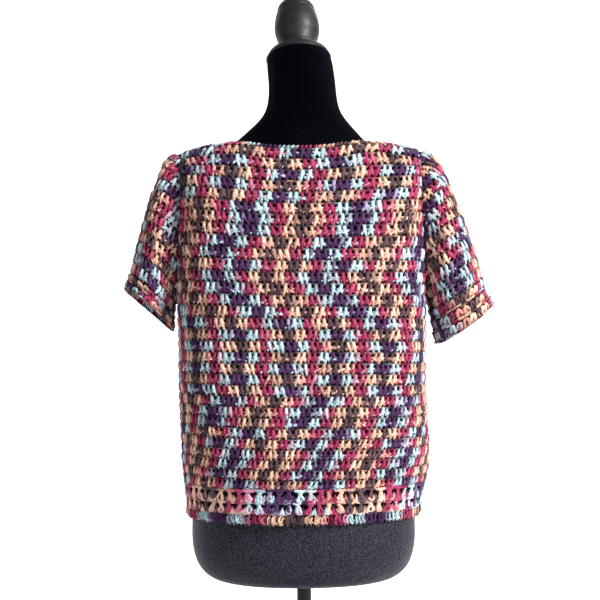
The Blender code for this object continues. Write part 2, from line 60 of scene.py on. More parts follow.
def make_camera():
    data = bpy.data.cameras.new("camera")
    data.sensor_width = SENSOR
    data.lens = SENSOR * CAMERA_DISTANCE / METRES_ACROSS
    data.clip_end = 50
    camera = bpy.data.objects.new("camera", data)
    camera.location = (CAMERA_X, -CAMERA_DISTANCE, CAMERA_HEIGHT)
    camera.rotation_euler = (math.pi / 2, CAMERA_ROLL, 0)
    bpy.context.scene.collection.objects.link(camera)
    bpy.context.scene.camera = camera


make_camera()

# ---------------------------------------------------------------- the cloth's surfaces, as in the CAD

SEAM = 0.0003
HEM_Z = 0.393
BAND_TOP_Z = 0.439
UNDERARM_Z = 0.687

BodySection = namedtuple("BodySection", "height half_width side_shift back_depth front_depth squareness")
BODY_SECTIONS = [BodySection(*row) for row in (
    (HEM_Z, 0.1590, 0.0003, 0.1225, 0.1140, 2.15),
    (0.4160, 0.1612, 0.0012, 0.1240, 0.1155, 2.18),
    (BAND_TOP_Z, 0.1655, 0.0026, 0.1270, 0.1185, 2.25),
    (0.4620, 0.1693, 0.0036, 0.1315, 0.1235, 2.35),
    (0.4950, 0.1702, 0.0034, 0.1320, 0.1255, 2.50),
    (0.5400, 0.1695, 0.0014, 0.1265, 0.1240, 2.65),
    (0.6000, 0.1692, 0.0000, 0.1195, 0.1260, 2.85),
    (0.6500, 0.1695, 0.0000, 0.1150, 0.1305, 2.95),
    (UNDERARM_Z, 0.1705, 0.0000, 0.1135, 0.1320, 3.00),
)]
RIDGE_Z = 0.9145
RIDGE_DROP = 0.0155
RIDGE_DROP_AT = 0.163
RIDGE_DROP_POWER = 3.0
PROFILE_SQUARENESS = {"back": 2.6, "front": 2.2}
ARMHOLE_SHARE = 0.44
ARMHOLE_ROUNDING = 3.0
NECK_HALF_WIDTH = 0.112
Neckline = namedtuple("Neckline", "share_at_middle power")
NECKLINES = {"back": Neckline(0.68, 3.0), "front": Neckline(0.42, 1.8)}
FRONT_EDGE_X = 0.038

Fold = namedtuple("Fold", "side top_z bottom_z top_x middle_x bottom_x reach height")
FOLDS = [Fold(*row) for row in (
    ("back", 0.690, 0.445, -0.008, -0.014, -0.078, 0.020, 0.0060),
    ("back", 0.700, 0.455, 0.022, 0.020, -0.030, 0.018, -0.0035),
    ("back", 0.640, 0.450, 0.092, 0.084, 0.050, 0.024, 0.0035),
    ("back", 0.720, 0.470, -0.098, -0.104, -0.122, 0.022, 0.0030),
    ("front", 0.700, 0.445, 0.082, 0.078, 0.070, 0.022, 0.0050),
    ("front", 0.690, 0.450, -0.086, -0.080, -0.066, 0.024, 0.0045),
    ("front", 0.660, 0.460, 0.118, 0.112, 0.104, 0.018, -0.0030),
)]
FOLD_FADE_POWER = 1.5

SleeveRing = namedtuple(
    "SleeveRing", "upper_x upper_z lower_x lower_z back_depth front_depth back_lift front_drop",
    defaults=(0, 0)
)
SLEEVE_RINGS = {
    1: [SleeveRing(*row) for row in (
        (0.1790, 0.8950, 0.1755, 0.6910, 0.0520, 0.0570),
        (0.1900, 0.8865, 0.1790, 0.6850, 0.0560, 0.0600),
        (0.2035, 0.8600, 0.1798, 0.6800, 0.0600, 0.0630),
        (0.2145, 0.8320, 0.1805, 0.6765, 0.0630, 0.0650),
        (0.2245, 0.8040, 0.1812, 0.6735, 0.0645, 0.0660),
        (0.2350, 0.7760, 0.1819, 0.6705, 0.0655, 0.0665, -0.001, 0.000),
        (0.2435, 0.7480, 0.1827, 0.6675, 0.0655, 0.0665, -0.001, -0.001),
        (0.2530, 0.7080, 0.1838, 0.6630, 0.0645, 0.0655, -0.002, -0.002),
        (0.2600, 0.6955, 0.1866, 0.6470, 0.0640, 0.0650, -0.003, -0.002),
        (0.2660, 0.6840, 0.1892, 0.6295, 0.0635, 0.0645, -0.003, -0.002),
    )],
    -1: [SleeveRing(*row) for row in (
        (0.1785, 0.8945, 0.1755, 0.6910, 0.0520, 0.0570),
        (0.1880, 0.8865, 0.1785, 0.6860, 0.0560, 0.0600),
        (0.1988, 0.8600, 0.1790, 0.6830, 0.0600, 0.0630, 0.002, 0.001),
        (0.2100, 0.8320, 0.1794, 0.6805, 0.0625, 0.0645, 0.004, 0.002),
        (0.2175, 0.8040, 0.1798, 0.6785, 0.0640, 0.0655, 0.006, 0.003),
        (0.2255, 0.7760, 0.1802, 0.6765, 0.0645, 0.0660, 0.008, 0.004),
        (0.2325, 0.7480, 0.1806, 0.6745, 0.0645, 0.0660, 0.010, 0.005),
        (0.2372, 0.7280, 0.1810, 0.6720, 0.0635, 0.0650, 0.012, 0.006),
        (0.2420, 0.7165, 0.1812, 0.6620, 0.0625, 0.0640, 0.013, 0.006),
        (0.2460, 0.7065, 0.1815, 0.6500, 0.0620, 0.0635, 0.014, 0.006),
    )],
}
CUFF_RING = 7
HANDS = ((1, "right"), (-1, "left"))


def hermite(keys, values, at):
    """A smooth curve through values (along their first axis) at rising keys."""
    keys, values, at = np.asarray(keys, float), np.asarray(values, float), np.asarray(at, float)
    slopes = np.gradient(values, keys, axis=0)
    i = np.clip(np.searchsorted(keys, at) - 1, 0, len(keys) - 2)
    span = keys[i + 1] - keys[i]
    t = (at - keys[i]) / span
    if values.ndim > 1:
        shape = t.shape + (1,) * (values.ndim - 1)
        t, span = t.reshape(shape), span.reshape(shape)
    return (
        values[i] * (1 + 2 * t) * (1 - t) ** 2
        + values[i + 1] * t * t * (3 - 2 * t)
        + span * t * (1 - t) * (slopes[i] * (1 - t) - slopes[i + 1] * t)
    )


def unit(vectors):
    return vectors / np.linalg.norm(vectors, axis=-1, keepdims=True)


def smooth(table, column, height):
    return hermite([row.height for row in table], [getattr(row, column) for row in table], height)


def superellipse(squareness, angle):
    """A point of an oval of radius 1 that is squarer, the higher squareness is above 2."""
    along, across = np.cos(angle), np.sin(angle)
    reach = (np.abs(along) ** squareness + np.abs(across) ** squareness) ** (-1 / squareness)
    return reach * along, reach * across


def ridge_z(x):
    return RIDGE_Z - RIDGE_DROP * (np.abs(x) / RIDGE_DROP_AT) ** RIDGE_DROP_POWER


def body_section(z):
    return BodySection(*[smooth(BODY_SECTIONS, column, z) for column in BodySection._fields])


def depth(section, side):
    return section.back_depth if side == "back" else section.front_depth


UNDERARM = BodySection(*[float(value) for value in body_section(UNDERARM_Z)])


def armhole_angle(share):
    """How far round the body's underarm section a panel's edge is, at a share of the armhole's height."""
    deep = ARMHOLE_SHARE * np.sqrt(1 - (1 - share) ** ARMHOLE_ROUNDING)
    wide = (1 - deep ** UNDERARM.squareness) ** (1 / UNDERARM.squareness)
    return np.arctan2(wide, deep)


def around_at(x, half_width, squareness, widest_angle):
    """The around value, from -1 to 1 across a panel, of a place this far to the side."""
    share = np.abs(x) / half_width
    angle = np.arctan2(share, (1 - share ** squareness) ** (1 / squareness))
    return np.sign(x) * angle / widest_angle


NECK_AROUND = float(around_at(NECK_HALF_WIDTH, UNDERARM.half_width, UNDERARM.squareness, armhole_angle(1.0)))


def top_share(side, around):
    """How far up to the ridge a panel reaches: less at the neckline, and whole beside it."""
    neckline = NECKLINES[side]
    nearness = np.minimum(np.abs(around) / NECK_AROUND, 1.0)
    return 1 - (1 - neckline.share_at_middle) * (1 - nearness ** neckline.power)


def fold_height(side, x, z):
    total = np.zeros(np.broadcast(x, z).shape)
    for fold in FOLDS:
        if fold.side != side:
            continue
        down = np.clip((fold.top_z - z) / (fold.top_z - fold.bottom_z), 0, 1)
        up = 1 - down
        line_x = fold.top_x * up ** 2 + 2 * fold.middle_x * down * up + fold.bottom_x * down ** 2
        fade = np.maximum(np.sin(math.pi * down), 0) ** FOLD_FADE_POWER
        total = total + fold.height * fade * np.exp(-(((x - line_x) / fold.reach) ** 2))
    return total


def body_points(side, around, row):
    """The body's mid-surface, as the CAD source has it, for arrays of around and row."""
    around, row = np.broadcast_arrays(np.asarray(around, float), np.asarray(row, float))
    outward = -1 if side == "back" else 1
    low_row = np.minimum(row, 0)
    low_z = UNDERARM_Z + low_row * (UNDERARM_Z - HEM_Z)
    section = body_section(low_z)
    deep, wide = superellipse(section.squareness, around * math.pi / 2)
    low_x = section.side_shift + section.half_width * wide
    low_y = depth(section, side) * deep
    share = np.sin(np.clip(row, 0, 1) * math.pi / 2) ** 2
    squareness = PROFILE_SQUARENESS[side]
    deep, wide = superellipse(UNDERARM.squareness, around * armhole_angle(share))
    high_x = UNDERARM.half_width * wide
    at_edge = np.arctan2(share, (1 - share ** squareness) ** (1 / squareness))
    out, up = superellipse(squareness, at_edge * top_share(side, around))
    high_y = depth(UNDERARM, side) * deep * out
    high_z = UNDERARM_Z + (ridge_z(high_x) - UNDERARM_Z) * up
    low = row <= 0
    x, y, z = np.where(low, low_x, high_x), np.where(low, low_y, high_y), np.where(low, low_z, high_z)
    return np.stack([x, outward * (y + fold_height(side, x, z)), z], axis=-1)


def row_at_height(z):
    return (z - UNDERARM_Z) / (UNDERARM_Z - HEM_Z)


def front_edge_around(row):
    section = body_section(UNDERARM_Z + np.minimum(row, 0) * (UNDERARM_Z - HEM_Z))
    low = around_at(FRONT_EDGE_X, section.half_width, section.squareness, math.pi / 2)
    widest = armhole_angle(np.sin(np.clip(row, 0, 1) * math.pi / 2) ** 2)
    high = around_at(FRONT_EDGE_X, UNDERARM.half_width, UNDERARM.squareness, widest)
    return np.where(np.asarray(row) <= 0, low, high)


def sleeve_surface(hand, turns, first, last, steps):
    """Rings from the armhole (0) or the first named ring to the last, for turns round the sleeve."""
    rings = []
    turns = (turns + math.pi) % (2 * math.pi) - math.pi
    row = 1 - np.abs(turns) / math.pi
    back, front = body_points("back", hand, row), body_points("front", hand, row)
    rings.append(np.where((turns > 0)[:, None], back, front))
    for ring in SLEEVE_RINGS[hand]:
        upper = np.array([hand * ring.upper_x, 0, ring.upper_z])
        lower = np.array([hand * ring.lower_x, 0, ring.lower_z])
        bulge = np.where(
            (turns > 0)[:, None],
            np.array([0, -ring.back_depth, ring.back_lift]),
            np.array([0, ring.front_depth, -ring.front_drop]),
        )
        down = ((1 - np.cos(turns)) / 2)[:, None]
        rings.append(upper * (1 - down) + lower * down + bulge * np.abs(np.sin(turns))[:, None])
    rings = np.array(rings)
    return hermite(np.arange(len(rings)), rings, np.linspace(first, last, steps))


# ---------------------------------------------------------------- rows of stitches

# Rows of double crochet from the hem band up to the neckline. They grow taller up to half way.
BODY_ROWS = 31
LOWEST_ROW = 0.0133
HIGHEST_ROW = 0.0154
NECK_MIDDLE_Z = float(body_points("back", 0.0, 1.0)[2])
# The width of a stitch on the cloth, and how far the columns stand to the side, by height.
StitchWidth = namedtuple("StitchWidth", "height width lean")
STITCH_WIDTHS = [StitchWidth(*row) for row in (
    (0.440, 0.0071, -0.0260),
    (0.470, 0.0072, -0.0200),
    (0.510, 0.0075, -0.0110),
    (0.550, 0.0077, -0.0050),
    (0.600, 0.0080, -0.0015),
    (0.720, 0.0082, 0.0000),
    (0.780, 0.0087, 0.0000),
    (0.840, 0.0092, 0.0000),
    (0.905, 0.0094, 0.0000),
)]
# How far the rows of the back are lifted at its left and right sides, by height.
RowLift = namedtuple("RowLift", "height left right")
ROW_LIFTS = [RowLift(*row) for row in (
    (0.439, 0.0000, 0.0000),
    (0.453, 0.0030, -0.0005),
    (0.506, 0.0045, -0.0020),
    (0.586, 0.0025, -0.0025),
    (0.639, 0.0015, -0.0030),
    (0.692, 0.0045, -0.0015),
    (0.719, 0.0055, -0.0015),
    (0.745, 0.0070, -0.0005),
    (0.772, 0.0090, 0.0020),
    (0.798, 0.0115, 0.0045),
    (0.852, 0.0120, 0.0085),
    (0.900, 0.0110, 0.0090),
)]
# The lift is whole this far from the middle, and grows towards it by this power.
LIFT_REACH = 0.150
LIFT_POWER = 1.6
# The last rows, that bend to the neckline and the shoulders.
TOP_ROWS = 3
# Rows that only the shoulders have, and the least height of a stitch there.
SHORT_ROWS = 2
LEAST_STITCH = 0.006
# The least height of the rows there, against the last row's at the middle of the neckline.
NECK_ROW_EASE = 1.05
# The lattice's lines to a row, and the steps in which a panel is searched for them.
DV = 1 / 3
PANEL_STEPS = 420
SHOULDER_STEPS = 40
# The fewest points that a line is worth laying for.
LEAST_POINTS = 4

# Points and normals on the cloth: u counts stitches along a row from u0, and v counts rows. Each line's
# stitches end at low and high.
Lattice = namedtuple("Lattice", "points normals u0 du dv low high outward")


def row_heights():
    """The rows' edges up the middle of the back."""
    steps = np.interp(np.arange(BODY_ROWS) / BODY_ROWS, (0, 0.5), (LOWEST_ROW, HIGHEST_ROW))
    steps *= (NECK_MIDDLE_Z - BAND_TOP_Z) / steps.sum()
    return BAND_TOP_Z + np.concatenate([[0], np.cumsum(steps)])


def row_lift(x, z):
    heights = [row.height for row in ROW_LIFTS]
    left = np.interp(z, heights, [row.left for row in ROW_LIFTS])
    right = np.interp(z, heights, [row.right for row in ROW_LIFTS])
    return np.where(x < 0, left, right) * np.minimum(np.abs(x) / LIFT_REACH, 1) ** LIFT_POWER


def panel_around(side, hand, share, row):
    """Around values across a panel. The back's share runs from -1 to 1, a front's from 0 at its edge."""
    if side == "back":
        return share + 0 * row
    edge = front_edge_around(row)
    return hand * (edge + (1 - edge) * share)


def panel_curves(side, hand, shares, v_values):
    """The panel's points along each fine row line, where the line is on the panel, and the lines' heights."""
    rows = np.linspace(row_at_height(BAND_TOP_Z), 1, PANEL_STEPS)
    grid = body_points(side, panel_around(side, hand, shares[:, None], rows[None, :]), rows[None, :])
    x, z = grid[..., 0], grid[..., 2]
    every = np.arange(len(shares))
    curves, kept = [], []
    for v, height in zip(v_values, np.interp(v_values, np.arange(BODY_ROWS + 1), row_heights())):
        lift = row_lift(x, height)
        if side == "back":
            near_top = np.clip((v - BODY_ROWS) / TOP_ROWS + 1, 0, 1)
            near_top = near_top ** 2 * (3 - 2 * near_top)
            lift = lift * (1 - near_top) + near_top * (z[:, -1:] - NECK_MIDDLE_Z)
        above = z - lift - height
        if v == 0:
            above -= above[:, :1]
        reached = above >= -1e-6
        valid = reached.any(axis=1)
        first = np.where(valid, np.argmax(reached, axis=1), len(rows) - 1)
        i = np.clip(first, 1, len(rows) - 1)
        low, high = above[every, i - 1], above[every, i]
        t = np.clip(-low / np.where(high - low == 0, 1, high - low), 0, 1)
        t[first == 0] = 0
        row = rows[i - 1] + t * (rows[i] - rows[i - 1])
        keep = every
        if side == "front" and not valid.all():
            keep = every[np.flatnonzero(~valid)[-1] + 1:]
        if len(keep) < LEAST_POINTS:
            break
        curves.append(body_points(side, panel_around(side, hand, shares[keep], row[keep]), row[keep]))
        kept.append(height)
    over = shoulder_curves(side, hand, shares[keep], row[keep])
    kept += [height] * len(over)
    return [curve if hand > 0 else curve[::-1] for curve in curves + over], kept


def shoulder_curves(side, hand, shares, row):
    """A panel's lines from its last level row to the top of the shoulder. A front's are evenly spaced up
    the cloth. The back's keep a row's height, so that short rows fill its shoulders."""
    fine = row + (1 - row) * np.linspace(0, 1, SHOULDER_STEPS)[:, None]
    lengths = lengths_down(body_points(side, panel_around(side, hand, shares, fine), fine))
    tall = lengths[-1]
    rows = SHORT_ROWS + 1 if side == "back" else round(float(tall.mean()) / HIGHEST_ROW)
    row_height = tall / rows
    if side == "back":
        row_height = np.maximum(row_height, NECK_ROW_EASE * tall[len(tall) // 2])
    curves = []
    for v in np.arange(1, round(rows / DV) + 1) * DV:
        reach = np.minimum(v * row_height, tall)
        at = np.array([np.interp(reach[j], lengths[:, j], fine[:, j]) for j in range(len(shares))])
        curves.append(body_points(side, panel_around(side, hand, shares, at), at))
    return curves


def lengths_down(grid):
    """How far each point of a grid is from its column's first point, along the column."""
    steps = np.linalg.norm(np.diff(grid, axis=0), axis=2)
    return np.concatenate([np.zeros((1, grid.shape[1])), np.cumsum(steps, axis=0)])


def lattice_from_curves(curves, origins, pitches, dv, outward, shifts=0.0, inset=0.0015, du=0.5):
    """Even stitch columns on a stack of curves. Each curve is an array of points; origins are the
    indices that columns are counted from. outward turns the normals away from the wearer."""
    origins, pitches, shifts = (np.broadcast_to(each, len(curves)) for each in (origins, pitches, shifts))
    lengths, lows, highs = [], [], []
    for curve, origin, pitch, shift in zip(curves, origins, pitches, shifts):
        s = lengths_down(curve[:, None])[:, 0]
        s = s - np.interp(origin, np.arange(len(s)), s)
        lengths.append(s)
        lows.append((s[0] + inset - shift) / pitch)
        highs.append((s[-1] - inset - shift) / pitch)
    u0 = math.floor(min(lows)) - 1
    u = np.arange(u0, math.ceil(max(highs)) + 1 + du, du)
    points = []
    for curve, s, pitch, shift, low, high in zip(curves, lengths, pitches, shifts, lows, highs):
        at = np.clip(u, low, high) * pitch + shift
        points.append(np.stack([np.interp(at, s, curve[:, axis]) for axis in range(3)], axis=-1))
    points = np.array(points)
    wide = points.copy()
    for line, low, high in zip(wide, lows, highs):
        inside = (u >= low) & (u <= high)
        first, last = np.argmax(inside), len(u) - 1 - np.argmax(inside[::-1])
        line[:first] = line[first] + (line[first] - line[first + 1]) * np.arange(first, 0, -1)[:, None]
        line[last + 1:] = line[last] + (line[last] - line[last - 1]) * np.arange(1, len(u) - last)[:, None]
    return Lattice(points, grid_normals(wide, outward), u0, du, dv, np.array(lows), np.array(highs), outward)


def grid_normals(points, outward):
    normals = np.cross(np.gradient(points, axis=1), np.gradient(points, axis=0))
    return normals * outward / np.maximum(np.linalg.norm(normals, axis=-1, keepdims=True), 1e-12)


def bilinear(grid, i, j):
    i = np.clip(i, 0, grid.shape[0] - 1.001)
    j = np.clip(j, 0, grid.shape[1] - 1.001)
    a, b = i.astype(int), j.astype(int)
    s, t = (i - a)[..., None], (j - b)[..., None]
    low = grid[a, b] * (1 - t) + grid[a, b + 1] * t
    high = grid[a + 1, b] * (1 - t) + grid[a + 1, b + 1] * t
    return low * (1 - s) + high * s


def on_lattice(lattice, u, v):
    i, j = v / lattice.dv, (u - lattice.u0) / lattice.du
    return bilinear(lattice.points, i, j), bilinear(lattice.normals, i, j)


# ---------------------------------------------------------------- yarn

YARN_COLOURS = {
    "purple": (0.056, 0.010, 0.074),
    "lilac": (0.390, 0.310, 0.500),
    "aqua": (0.420, 0.610, 0.650),
    "pink": (0.680, 0.290, 0.400),
    "crimson": (0.325, 0.006, 0.072),
    "rose": (0.620, 0.150, 0.170),
    "peach": (0.800, 0.430, 0.290),
    "brown": (0.082, 0.037, 0.048),
}
SEAM_THREAD = (0.150, 0.095, 0.130)
# One repeat of the space-dyed yarn, in stitches. It reads the same both ways from purple or brown, and is
# paler where two dyes meet.
YARN_REPEAT = (
    ("purple", 2.5), ("lilac", 0.25), ("aqua", 1.6), ("pink", 0.25), ("crimson", 1.85), ("rose", 0.2),
    ("peach", 1.8), ("brown", 2.1), ("peach", 1.8), ("rose", 0.2), ("crimson", 1.85), ("pink", 0.25),
    ("aqua", 1.6), ("lilac", 0.25),
)
REPEAT_STITCHES = sum(stitches for _, stitches in YARN_REPEAT)
# How far two dyes run into each other, in stitches.
DYE_BLEND = 0.15


def yarn_colour(position):
    """The yarn's colour at a place in stitches, where 0 is the middle of the purple."""
    edges = np.cumsum([stitches for _, stitches in YARN_REPEAT])
    colours = np.array([YARN_COLOURS[name] for name, _ in YARN_REPEAT])
    total = 0
    for shift in (-DYE_BLEND, 0, DYE_BLEND):
        at = (position + shift + YARN_REPEAT[0][1] / 2) % REPEAT_STITCHES
        total = total + colours[np.searchsorted(edges, at, side="right") % len(colours)]
    return total / 3


# Where the middle of the purple falls in each row of the back, in stitches right of the middle, from the
# neckline down. Rows are worked back and forth, so every second row drifts the other way.
BACK_ROW_STARTS = (
    0.75, 5.75, 15.25, 6.25, 13.75, 8.75, 9.25, 8.5, 5.25, 3.5, 7.0, 2.75, 4.0, 6.5, 9.5, 13.5, 6.25, 15.0,
    6.5, 14.25, 6.0, 15.0, 4.0, 1.25, 0.75, 7.75, 2.5, 6.25, 5.5, 3.5, 7.75,
)
# And in the short rows of the shoulders, upwards.
SHORT_ROW_STARTS = (-14.4, -10.0)

CELL_WIDTH = 8.3
CELL_HEIGHT = 15.4
# Painted shade and highlight: the yarn's colour is darkened where a strand lies low by the cloth and
# brightened past its own where it stands high, by its height off the cloth in millimetres.
PAINTED_SHADE_LIFTS = (-1.0, 0.6, 2.0, 4.2)
PAINTED_SHADE_AND_HIGHLIGHT = (0.04, 0.27, 0.84, 1.29)
# Painted highlight: how far a strand's most raised parts are paled towards white.
PAINTED_HIGHLIGHT_LIFTS = (1.6, 4.4)
PAINTED_HIGHLIGHT = 0.25
# A strand of a stitch: the sides of its tube, how far along the stitch's yarn it is, and the points of its
# path in the stitch's cell, in millimetres: across, up, lift, radius.
Strand = namedtuple("Strand", "sides yarn_place path")
# Double crochet: a post under a loop, with the yarn that runs on to the next stitch.
TALL_STITCH = (
    Strand(6, 0.3, (
        (-3.0, -1.8, -0.4, 1.4), (-2.7, 1.4, 0.9, 1.95), (-1.7, 4.6, 1.4, 2.2), (-0.5, 7.9, 1.85, 2.55),
        (0.1, 11.0, 1.8, 2.75), (0.2, 13.7, 1.2, 2.4), (0.1, 15.3, -0.2, 1.3))),
    Strand(5, 0.1, (
        (-4.8, 8.3, 0.9, 1.4), (-2.5, 7.5, 1.9, 1.7), (0.3, 5.7, 2.3, 1.8), (2.6, 4.8, 1.8, 1.7),
        (4.6, 4.6, 0.8, 1.4))),
    Strand(5, -0.3, (
        (-4.6, 4.8, 0.8, 1.4), (-1.6, 5.2, 1.3, 1.6), (1.8, 7.2, 1.4, 1.7), (4.8, 8.0, 0.8, 1.4))),
    Strand(4, 0.8, (
        (1.6, 5.2, 0.8, 0.9), (2.4, 4.1, 2.5, 1.25), (3.3, 2.9, 2.3, 1.2), (3.9, 2.1, 0.6, 0.8))),
    Strand(4, 0.5, ((-4.5, 14.5, -0.1, 1.5), (0.0, 14.9, 0.1, 1.5), (4.5, 14.5, -0.1, 1.5))),
)
# An open arch over a cord, for the cuffs.
LOOP_STITCH = (
    Strand(6, 0.2, (
        (-2.9, 1.6, 0.2, 1.5), (-2.7, 6.5, 1.7, 1.9), (-1.4, 11.3, 2.4, 2.1), (0.9, 12.6, 2.5, 2.1),
        (2.5, 9.2, 2.0, 2.0), (3.1, 4.0, 0.9, 1.6))),
    Strand(5, -0.2, (
        (-4.6, 1.6, 0.6, 1.9), (-1.5, 0.6, 1.4, 2.1), (1.6, 0.9, 1.5, 2.1), (4.6, 1.7, 0.6, 1.9))),
    Strand(4, 0.6, ((-1.4, 2.0, 0.0, 1.4), (0.2, 6.0, 0.9, 1.7), (1.0, 10.5, 0.4, 1.3))),
    Strand(4, 0.4, ((-4.6, 15.0, -0.2, 1.3), (0.0, 14.4, 0.4, 1.5), (4.6, 15.0, -0.2, 1.3))),
)
# A post over a bright hook, with a gap and a spike beside it, for the open rows of the hem band.
BELL_STITCH = (
    Strand(5, 0.2, (
        (-0.9, 17.0, 1.2, 1.5), (0.4, 13.0, 2.4, 1.6), (-0.6, 9.6, 2.9, 1.5), (-1.4, 5.8, 3.2, 1.7),
        (-0.9, 2.6, 2.8, 1.5))),
    Strand(5, 0.3, (
        (1.0, 17.0, 1.2, 1.5), (-0.5, 13.0, 2.8, 1.5), (0.8, 9.6, 2.5, 1.5), (1.3, 5.8, 3.1, 1.7),
        (0.8, 2.6, 2.7, 1.5))),
    Strand(5, 0.5, (
        (-2.2, 8.0, 2.0, 1.0), (-2.5, 4.4, 3.2, 1.3), (-0.8, 1.8, 4.1, 1.4), (1.7, 2.4, 3.8, 1.4),
        (2.5, 5.8, 2.6, 1.1))),
    Strand(5, 0.0, (
        (-4.6, 16.2, 1.2, 1.9), (-1.8, 15.2, 2.4, 2.1), (1.8, 15.8, 2.2, 2.0), (4.6, 15.8, 1.2, 1.8))),
    Strand(4, -1.6, (
        (1.6, -1.4, 2.0, 1.6), (2.9, 2.4, 3.0, 1.7), (3.9, 6.4, 2.8, 1.3), (4.2, 10.2, 1.8, 0.4))),
    Strand(4, -1.6, ((7.0, -1.2, 1.8, 1.6), (5.7, 2.0, 2.7, 1.7), (4.7, 6.2, 2.4, 1.1))),
    Strand(4, -1.6, ((3.4, -1.2, 2.5, 1.7), (4.3, 1.6, 2.7, 1.7), (4.3, 5.4, 2.5, 1.3))),
)
# Crowded loops with tails below them, for the hem's edge.
HEM_STITCH = (
    Strand(5, 0.2, (
        (-2.8, 13.8, 1.2, 1.6), (1.6, 13.4, 2.4, 1.7), (3.3, 8.8, 3.0, 1.8), (1.8, 4.2, 3.1, 1.8),
        (-2.4, 2.8, 2.2, 1.6))),
    Strand(4, 0.5, (
        (-4.0, 11.6, 1.0, 1.5), (-0.8, 10.0, 2.4, 1.7), (-1.4, 5.8, 2.2, 1.7), (-4.8, 4.2, 0.8, 1.5))),
    Strand(4, 0.0, ((4.6, 16.8, 0.8, 2.0), (0.4, 16.0, 1.8, 2.1), (-4.2, 16.6, 0.9, 2.0))),
    Strand(4, 0.3, ((4.6, 3.4, 0.8, 1.7), (0.6, 2.2, 2.0, 1.8), (-4.0, 3.2, 0.9, 1.7))),
    Strand(4, 0.4, ((-0.6, 2.8, 1.8, 1.2), (-1.4, 0.2, 2.2, 1.0), (-1.1, -2.0, 1.4, 0.3))),
)
# A slanting loop over a low one, for the edging, the seams and the cuffs' edges.
EDGE_STITCH = (
    Strand(6, 0.2, (
        (-2.6, 0.3, -0.4, 1.4), (-1.6, 3.5, 1.0, 2.4), (0.6, 8.5, 1.6, 2.6), (2.4, 13.0, 0.8, 2.2),
        (2.8, 15.6, -0.5, 1.2))),
    Strand(5, 0.6, (
        (3.4, 0.4, -0.6, 1.5), (1.4, 2.4, 0.6, 2.1), (-1.4, 5.5, 0.7, 2.1), (-3.2, 9.0, -0.6, 1.4))),
)

# How flat a strand is, and how much a hook's pull varies: a strand's turn, its shift in millimetres and its
# thickness; then a stitch's lift as a share and in millimetres, its width, its shift and its lean.
FLATNESS = 0.85
StrandPlay = namedtuple("StrandPlay", "turn shift thickness")
STRAND_PLAY = StrandPlay(0.11, 0.32, 0.10)
StitchPlay = namedtuple("StitchPlay", "lift_share lift width shift lean")
STITCH_PLAY = StitchPlay(0.10, 0.18, 0.06, 0.35, 0.05)
# How much the colour varies along the yarn, in stitches, and the shade from stitch to stitch and from strand
# to strand, down to the darkest.
YARN_PLAY = 0.25
STITCH_SHADE_PLAY = 0.07
STRAND_SHADE_PLAY = 0.11
DARKEST = 0.4
MILLIMETRE = 0.001

# All the strands of a stitch: each vertex's place, the middle of its ring and of its strand, where it is
# along and round the strand, how far along the yarn the strand is, and which strand it is on.
Template = namedtuple("Template", "points cores middles twists places strands faces")


def grid_faces(rows, columns, closed=False):
    """The quads of a grid of points, numbered row by row. A closed one joins its last column to its first."""
    index = np.arange(rows * columns).reshape(rows, columns)
    if closed:
        index = np.concatenate([index, index[:, :1]], axis=1)
    return np.stack([index[:-1, :-1], index[:-1, 1:], index[1:, 1:], index[1:, :-1]], axis=-1).reshape(-1, 4)


def copied_faces(faces, copies, size):
    """The faces of copies of a mesh of size vertices, one after another."""
    return (faces[None] + (np.arange(copies) * size)[:, None, None]).reshape(-1, 4)


def strand_mesh(strand):
    """A strand's rings of vertices, their middles, faces, and each vertex's place along and round it."""
    path = np.array(strand.path)
    centres, radii = path[:, :3], path[:, 3]
    along = unit(np.gradient(centres, axis=0))
    aside = unit(np.cross(along, (0, 0, 1)))
    rise = np.cross(aside, along)
    angles = np.linspace(0, 2 * math.pi, strand.sides, endpoint=False)
    around = np.cos(angles)[:, None] * aside[:, None] + FLATNESS * np.sin(angles)[:, None] * rise[:, None]
    rings = centres[:, None] + radii[:, None, None] * around
    lengths = lengths_down(centres[:, None])
    twist = np.stack(np.broadcast_arrays(lengths, angles[None, :]), axis=-1)
    cores = np.repeat(centres, strand.sides, axis=0)
    return rings.reshape(-1, 3), cores, grid_faces(len(path), strand.sides, True), twist.reshape(-1, 2)


def stitch_template(strands, mirrored):
    """A stitch's strands as one template, turned left for right in a row that is worked back."""
    parts, count = [], 0
    for i, strand in enumerate(strands):
        points, cores, faces, twists = strand_mesh(strand)
        middles = np.broadcast_to(cores.mean(axis=0), cores.shape)
        places, owners = np.full(len(points), strand.yarn_place), np.full(len(points), i)
        parts.append(Template(points, cores, middles, twists, places, owners, faces + count))
        count += len(points)
    made = Template(*[np.concatenate(column) for column in zip(*parts)])
    if mirrored:
        for column in (made.points, made.cores, made.middles):
            column[:, 0] *= -1
        made = made._replace(faces=made.faces[:, ::-1])
    return made


def loosened(template, n, looseness):
    """The template's vertices for n stitches, each strand a little turned, moved and thickened."""
    count = template.strands.max() + 1
    turn, across, up, thick = (rng.normal(0, looseness, (n, count))[:, template.strands] for _ in range(4))
    whole = rng.normal(0, looseness, (n, 5))[:, :, None]
    thickness = 1 + STRAND_PLAY.thickness * thick[..., None]
    core = template.cores + (template.points - template.cores) * thickness
    at = core - template.middles
    cos, sin = np.cos(STRAND_PLAY.turn * turn), np.sin(STRAND_PLAY.turn * turn)
    x = template.middles[:, 0] + at[..., 0] * cos - at[..., 1] * sin + STRAND_PLAY.shift * across
    y = template.middles[:, 1] + at[..., 0] * sin + at[..., 1] * cos + STRAND_PLAY.shift * up
    w = core[..., 2] * (1 + STITCH_PLAY.lift_share * whole[:, 0]) + STITCH_PLAY.lift * whole[:, 1]
    x = x * (1 + STITCH_PLAY.width * whole[:, 2]) + STITCH_PLAY.shift * whole[:, 3]
    return x + STITCH_PLAY.lean * whole[:, 4] * (y - CELL_HEIGHT / 2), y, w


